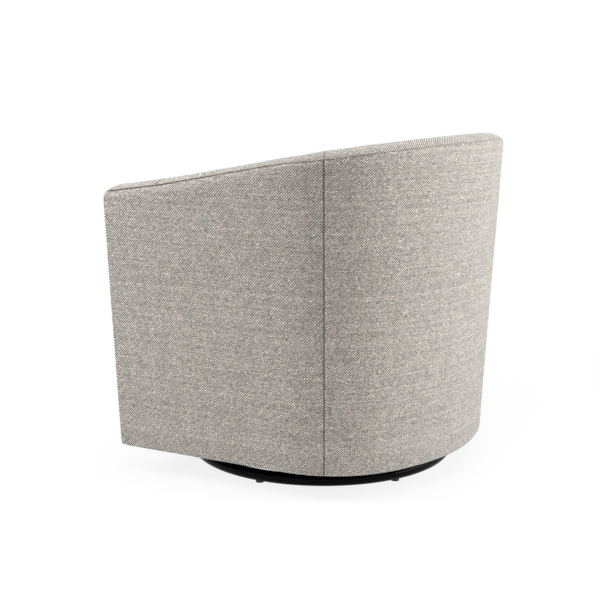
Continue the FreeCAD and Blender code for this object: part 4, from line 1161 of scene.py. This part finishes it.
class ROCKER_OT_dust_cover(Operator):
    """Dust cover under the body, stapled round its edge, with a hole for the mechanism"""

    bl_idname = "rocker.dust_cover"
    bl_label = "Dust cover"

    def execute(self, context):
        scene = context.scene
        seat, tub, cloth = scene.rocker_cushion, scene.rocker_tub, scene.rocker_cloth
        front = tub.front - seat.dust_inset
        line, run = seat_plan("outer", tub.low_height, seat.dust_inset, front, corner_r=0.004,
                              sides=150, ends=150)
        line, run = line[::-1], run[::-1]
        axis = np.array([0.0, swivel_axis_y])
        hole = axis + unit(line - axis) * seat.dust_hole
        share = np.linspace(0, 1, 26)[:, None, None]
        flat = line[None] + (hole - line)[None] * share
        away = share[..., 0]
        # Half a millimetre of pull between the staples, and a sag of about one between edge and hole.
        pull = 0.0005 * np.sin(2 * math.pi * run / seat.staple_step) * np.exp(-away * 7)
        sag = -0.0012 * np.sin(math.pi * away) ** 2
        sag = sag + 0.0003 * soft_wave(flat[..., 0], flat[..., 1], 0.09, 71)
        top = tub.low_height - 0.0002
        height = top - seat.dust_cloth + pull * (away > 0) + sag * (away > 0)
        under = np.dstack([flat, height])
        upper = np.dstack([flat, height + seat.dust_cloth])
        edges = [np.stack([upper[0], under[0]]), np.stack([under[-1], upper[-1]])]
        cambric = plain_finish("cambric", cloth.cambric, 420.0, 0.5, 1500.0, 0.0003, Roughness=0.85)
        patches = [patch(under, flat, True), patch(upper[::-1], flat[::-1], True)]
        patches += [patch(edge, np.stack([line, line]), True) for edge in edges]
        piece = make_piece("dust_cloth", patches, cambric)
        sharpen(piece)
        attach(piece, "chair")
        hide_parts("dust_cover")

        self.staples(context, line, run, height[0].min() - 0.0002, axis)
        return {"FINISHED"}

    def staples(self, context, line, run, height, axis):
        """Wire staples along the edge: a flat square wire with both ends turned up into the cloth."""
        seat, cloth = context.scene.rocker_cushion, context.scene.rocker_cloth
        order = np.argsort(run)
        count = int(run.max() / seat.staple_step)
        places = (np.arange(count) + 0.25) * run.max() / count
        spots = on_line(places, run[order], line[order])
        along = unit(on_line(places + 0.004, run[order], line[order]) - spots)
        inward = np.stack([-along[:, 1], along[:, 0]], axis=-1)
        inward *= np.sign(np.sum((axis - spots) * inward, axis=1))[:, None]
        from_edge, half, wire, leg, bend = 0.008, 0.005, 0.0006, 0.0022, 0.0007
        spots = spots + inward * from_edge
        path = np.array([(-half, leg), (-half, bend), (-half + wire, 0.0), (half - wire, 0.0),
                         (half, bend), (half, leg)])
        ways = unit(np.gradient(path, axis=0))
        square = np.array([(-1, -1), (1, -1), (1, 1), (-1, 1)]) * wire / 2
        # Wire grid: for each staple, six places along the wire and four corners round it.
        slide = path[:, None, 0] - ways[:, None, 1] * square[None, :, 0]
        lift = path[:, None, 1] + ways[:, None, 0] * square[None, :, 0]
        aside = np.broadcast_to(square[None, :, 1], slide.shape)
        xy = (spots[:, None, None] + along[:, None, None] * slide[None, ..., None]
              + inward[:, None, None] * aside[None, ..., None])
        z = height - wire + lift[None] + 0 * xy[..., 0]
        grids = np.concatenate([xy, z[..., None]], axis=-1)
        index = np.arange(24).reshape(6, 4)
        ring = np.concatenate([index, index[:, :1]], axis=1)
        sides = np.stack([ring[:-1, :-1], ring[1:, :-1], ring[1:, 1:], ring[:-1, 1:]], axis=-1).reshape(-1, 4)
        caps = np.array([[0, 1, 2, 3], [23, 22, 21, 20]])
        quads = np.concatenate([sides, caps])
        quads = (quads[None] + 24 * np.arange(count)[:, None, None]).reshape(-1, 4)
        uv = np.zeros((len(quads), 4, 2))
        steel = plain_finish("staple_wire", cloth.steel, 60.0, 0.1, 800.0, 0.0001, Metallic=1.0,
                             Roughness=0.32)
        points = grids.reshape(-1, 3)
        staples = (points, quads, uv, np.zeros(len(points)))
        piece = make_piece("dust_cover_staples", [staples], steel)
        sharpen(piece, 30.0)
        work = bmesh.new()
        work.from_mesh(piece.data)
        bmesh.ops.recalc_face_normals(work, faces=work.faces)
        work.to_mesh(piece.data)
        work.free()
        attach(piece, "chair")


class ROCKER_OT_back_webbing(Operator):
    """Straps behind the pads, woven with two dark lines"""

    bl_idname = "rocker.back_webbing"
    bl_label = "Back webbing"

    def execute(self, context):
        cloth = context.scene.rocker_cloth
        finish = Finish("webbing", Roughness=0.88, Sheen_Weight=0.15)
        uv = finish.add("UVMap", {}, uv_map="cloth").outputs[0]
        apart = finish.add("SeparateXYZ", {0: uv})
        ribs = finish.math("SINE", finish.math("MULTIPLY", apart.outputs[0], 2 * math.pi / 0.0024))
        cords = finish.math("SINE", finish.math("MULTIPLY", apart.outputs[1], 2 * math.pi / 0.0030))
        height = finish.math("MULTIPLY", ribs, cords)
        # Two lines 5 mm wide, 14 mm either side of the strap's middle.
        off_centre = finish.math("ABSOLUTE", finish.math("SUBTRACT", apart.outputs[1], 0.025))
        off_line = finish.math("ABSOLUTE", finish.math("SUBTRACT", off_centre, 0.014))
        line = finish.math("LESS_THAN", off_line, 0.0025)
        tint = finish.mix(line, tuple(cloth.jute), linear(86, 48, 40))
        speckle = finish.noise(uv, 900.0, 2.0, "2D")
        tone = finish.math("MULTIPLY_ADD", height, 0.14, finish.math("MULTIPLY_ADD", speckle, 0.4, 0.72))
        material = finish.finish(finish.scaled(tint, tone), height, 0.0006, 0.7)
        low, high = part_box("back_webbing")
        strap, near, thick = 0.050, 0.0319, 0.0018
        station = np.linspace(0.05, last_station - 0.05, 300)
        patches = []
        for bottom in np.linspace(low.z, high.z - strap, 3):
            share = np.linspace(0, 1, 9)[:, None]
            height = bottom + strap * share + 0 * station
            round_off = 0.3 * thick * np.abs(2 * share - 1) ** 6
            run = tub_run("outer", station, height)
            uv = joined(run, strap * share)
            face = tub_point("outer", station, height, near + round_off, front_behind_panel())
            lining = tub_point("outer", station, height, near + thick - round_off, front_behind_panel())
            patches += shell(face, lining, uv)
        piece = make_piece("woven_straps", patches, material)
        sharpen(piece)
        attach(piece, "chair")
        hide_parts("back_webbing")
        return {"FINISHED"}


class ROCKER_OT_hardware(Operator):
    """Finishes of the base, the mechanism and the wooden frame"""

    bl_idname = "rocker.hardware"
    bl_label = "Hardware and frame"

    def execute(self, context):
        cloth = context.scene.rocker_cloth
        enamel = plain_finish("gloss_enamel", cloth.enamel, 18.0, 0.25, 260.0, 0.00006, Roughness=0.14,
                              Specular_IOR_Level=0.05)
        zinc = plain_finish("zinc_plate", cloth.zinc, 45.0, 0.18, 500.0, 0.00005, Metallic=1.0,
                            Roughness=0.38)
        steel = plain_finish("bright_steel", cloth.steel, 90.0, 0.10, 900.0, 0.00004, Metallic=1.0,
                             Roughness=0.24)
        nylon = plain_finish("nylon", cloth.nylon, 60.0, 0.20, 900.0, 0.0001, Roughness=0.48)
        rubber = plain_finish("rubber", cloth.rubber, 80.0, 0.35, 700.0, 0.0003, Roughness=0.8)
        board = plain_finish("fibreboard", cloth.board, 260.0, 0.45, 900.0, 0.0004, Roughness=0.9)
        grain_x = wood_finish("hardwood_across", cloth.wood, (0.12, 1.0, 1.0), 26.0)
        grain_y = wood_finish("hardwood_along", cloth.wood, (1.0, 0.12, 1.0), 26.0)
        grain_z = wood_finish("hardwood_upright", cloth.wood, (1.0, 1.0, 0.12), 26.0)
        plywood = wood_finish("plywood", cloth.ply, (0.25, 0.25, 3.0), 30.0)
        finishes = {
            enamel: ("base_ring", "base_spokes", "hub_plate"),
            zinc: ("lower_race", "upper_race", "rocker_lower_bracket", "rocker_upper_bracket",
                   "spring_cups_lower", "spring_cups_upper"),
            steel: ("race_bolts", "head_bolts", "mechanism_bolts", "kingpin", "kingpin_washer", "kingpin_nut",
                    "pivot_shaft", "shaft_clips", "bearing_balls", "seat_springs"),
            nylon: ("base_glides", "ball_cage", "kingpin_bush", "pivot_bushes", "spring_clips"),
            rubber: ("rubber_stops",),
            grain_x: ("mechanism_rails", "front_rail_lower", "seat_rail_front"),
            grain_y: ("side_rails",),
            grain_z: ("front_posts", "arm_posts", "back_posts"),
            plywood: ("base_hoop_sides", "base_hoop_back", "seat_rail_back", "top_rail"),
            board: ("arm_board_right", "arm_board_left", "back_board"),
        }
        for finish, names in finishes.items():
            for name in names:
                node = frame["nodes"][name]
                if not node.material_slots:
                    node.data.materials.append(finish)
                for slot in node.material_slots:
                    slot.material = finish
        return {"FINISHED"}


class ROCKER_OT_coil_springs(Operator):
    """Four coil springs between the brackets"""

    bl_idname = "rocker.coil_springs"
    bl_label = "Coil springs"

    def execute(self, context):
        """Round wire along a helix: the height rises by the end pitch in the first and last turn and
        evenly between. Each section is a circle across the wire, and the ends are closed flat."""
        springs, cloth = context.scene.rocker_springs, context.scene.rocker_cloth
        low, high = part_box("rock_springs")
        bottom, top = low.z + springs.wire_r, high.z - springs.wire_r
        turn = np.linspace(0, springs.turns, 36 * springs.turns + 1)
        middle = np.clip(turn - 1, 0, springs.turns - 2)
        pitch = (top - bottom - 2 * springs.end_pitch) / (springs.turns - 2)
        height = bottom + springs.end_pitch * (turn - middle) + pitch * middle
        angle, around = 2 * math.pi * turn, 2 * math.pi * springs.mean_r
        outward = np.stack([np.cos(angle), np.sin(angle), 0 * angle], axis=-1)
        way = unit(np.stack([-np.sin(angle), np.cos(angle), np.gradient(height, turn) / around], axis=-1))
        line = springs.mean_r * outward
        line[:, 2] = height
        # The first and last row are the middle of the end faces.
        row = np.concatenate([[0], np.arange(len(turn)), [len(turn) - 1]])
        radius = np.full((len(row), 1, 1), springs.wire_r)
        radius[[0, -1]] = 0
        ring = np.linspace(2 * math.pi, 0, 12, endpoint=False)[:, None]
        section = outward[row, None] * np.cos(ring) + np.cross(outward, way)[row, None] * np.sin(ring)
        wire = line[row, None] + radius * section
        uv = joined(springs.wire_r * ring[:, 0], around * turn[row, None])
        centre, half = (low + high) / 2, (high - low) / 2
        aside, along = [length - springs.mean_r - springs.wire_r for length in half[:2]]
        places = [(centre.x + x, centre.y + y, 0.0) for x in (-aside, aside) for y in (-along, along)]
        steel = plain_finish("coil_steel", cloth.spring, 120.0, 0.30, 600.0, 0.00008, Metallic=1.0,
                             Roughness=0.42)
        piece = make_piece("coil_springs", [patch(wire + place, uv, closed=True) for place in places], steel)
        sharpen(piece)
        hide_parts("rock_springs")
        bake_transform(piece)
        return {"FINISHED"}


class ROCKER_OT_stage(Operator):
    """Floor, lamps, sky and camera"""

    bl_idname = "rocker.stage"
    bl_label = "Stage"

    def execute(self, context):
        scene, stage = context.scene, context.scene.rocker_stage
        scene.view_settings.view_transform = "Standard"
        away = Vector((math.sin(stage.azimuth), -math.cos(stage.azimuth), 0.0))
        right = Vector((math.cos(stage.azimuth), math.sin(stage.azimuth), 0.0))
        centre = Vector((0.0, swivel_axis_y, 0.0))
        back = away * math.cos(stage.elevation) + Vector((0, 0, math.sin(stage.elevation)))
        aim = centre + right * stage.aim_aside + Vector((0, 0, stage.aim_height))
        lens = bpy.data.cameras.new("camera")
        lens.lens = stage.lens
        camera = bpy.data.objects.new("camera", lens)
        camera.location = aim + back * stage.distance
        camera.rotation_euler = (-back).to_track_quat("-Z", "Y").to_euler()
        scene.collection.objects.link(camera)
        scene.camera = camera

        middle = centre + Vector((0, 0, 0.35))

        def lamp(name, aside, behind, height, watts, width):
            """Soft square lamp, placed to the camera's right, towards it and up, aimed at the body."""
            data = bpy.data.lights.new(name, "AREA")
            data.energy, data.size = watts, width
            light = bpy.data.objects.new(name, data)
            light.location = centre + right * aside + away * behind + Vector((0, 0, height))
            light.rotation_euler = (middle - light.location).to_track_quat("-Z", "Y").to_euler()
            scene.collection.objects.link(light)

        lamp("key", 2.3, 0.4, 1.3, stage.key, 1.6)
        lamp("side", -2.2, 0.2, 1.4, stage.side, 1.0)
        lamp("top", 0.2, 0.6, 2.6, stage.top, 2.2)
        self.sky(scene, stage)
        self.floor(stage)
        return {"FINISHED"}

    def sky(self, scene, stage):
        """White where the camera and reflections see it, dimmer as a light."""
        scene.world = bpy.data.worlds.new("sky")
        sky = Nodes(scene.world)
        strength = sky.add("MapRange", {"Value": sky.seen(), "To Min": stage.sky}).outputs[0]
        light = sky.add("Background", {"Color": (1.0, 1.0, 1.0, 1.0), "Strength": strength}).outputs[0]
        sky.add("OutputWorld", {"Surface": light})

    def floor(self, stage):
        """Pale floor that keeps the shadow near the chair and runs out to white where it is seen."""
        reach = 9.0
        line = np.linspace(-reach, reach, 9)
        grid = np.stack([*np.meshgrid(line, line), np.zeros((9, 9))], axis=-1)
        finish = Finish("floor", Roughness=0.9)
        finish.shader.inputs["Base Color"].default_value = (*stage.floor, 1.0)
        far = finish.add("VectorMath", {0: finish.place()}, operation="LENGTH").outputs["Value"]
        glow_share = {"Value": far, "From Min": 0.5, "From Max": 1.4, "To Min": 0.86, "To Max": 1.0}
        share = finish.add("MapRange", glow_share).outputs[0]
        seen = finish.seen()
        glow = finish.add("Emission", {"Color": (1, 1, 1, 1), "Strength": 1.0}).outputs[0]
        inputs = {0: finish.math("MULTIPLY", share, seen), 1: finish.shader.outputs[0], 2: glow}
        mixed = finish.add("MixShader", inputs).outputs[0]
        finish.links.new(mixed, finish.output.inputs["Surface"])
        piece = make_piece("floor", [patch(grid, grid[..., :2])], finish.material)


class ROCKER_PT_panel(Panel):
    """Lists the chair's pieces and sizes"""

    bl_idname = "ROCKER_PT_panel"
    bl_label = "Swivel rocker"
    bl_space_type = "VIEW_3D"
    bl_region_type = "UI"
    bl_category = "Rocker"

    def draw(self, context):
        for step in steps:
            self.layout.operator(step.bl_idname)
        for name, group in groups.items():
            box = self.layout.box()
            box.label(text=group.__doc__)
            for key in group.__annotations__:
                box.prop(getattr(context.scene, name), key)


groups = {
    "rocker_tub": RockerTub,
    "rocker_covers": RockerCovers,
    "rocker_cushion": RockerCushion,
    "rocker_springs": RockerSprings,
    "rocker_cloth": RockerCloth,
    "rocker_stage": RockerStage,
}
steps = (
    ROCKER_OT_stage,
    ROCKER_OT_hardware,
    ROCKER_OT_coil_springs,
    ROCKER_OT_outside_covers,
    ROCKER_OT_crest_band,
    ROCKER_OT_front_covers,
    ROCKER_OT_inside_pads,
    ROCKER_OT_seat_cushion,
    ROCKER_OT_deck_felt,
    ROCKER_OT_dust_cover,
    ROCKER_OT_back_webbing,
)


def register():
    """Makes the classes and the settings known."""
    for name, group in groups.items():
        bpy.utils.register_class(group)
        setattr(bpy.types.Scene, name, PointerProperty(type=group))
    for step in steps + (ROCKER_PT_panel,):
        bpy.utils.register_class(step)


def unregister():
    """Forgets them again."""
    for step in (ROCKER_PT_panel,) + steps[::-1]:
        bpy.utils.unregister_class(step)
    for name, group in groups.items():
        delattr(bpy.types.Scene, name)
        bpy.utils.unregister_class(group)


def main():
    """Builds the whole chair."""
    register()
    for step in steps:
        area, action = step.bl_idname.split(".")
        getattr(getattr(bpy.ops, area), action)()


if __name__ == "__main__":
    main()
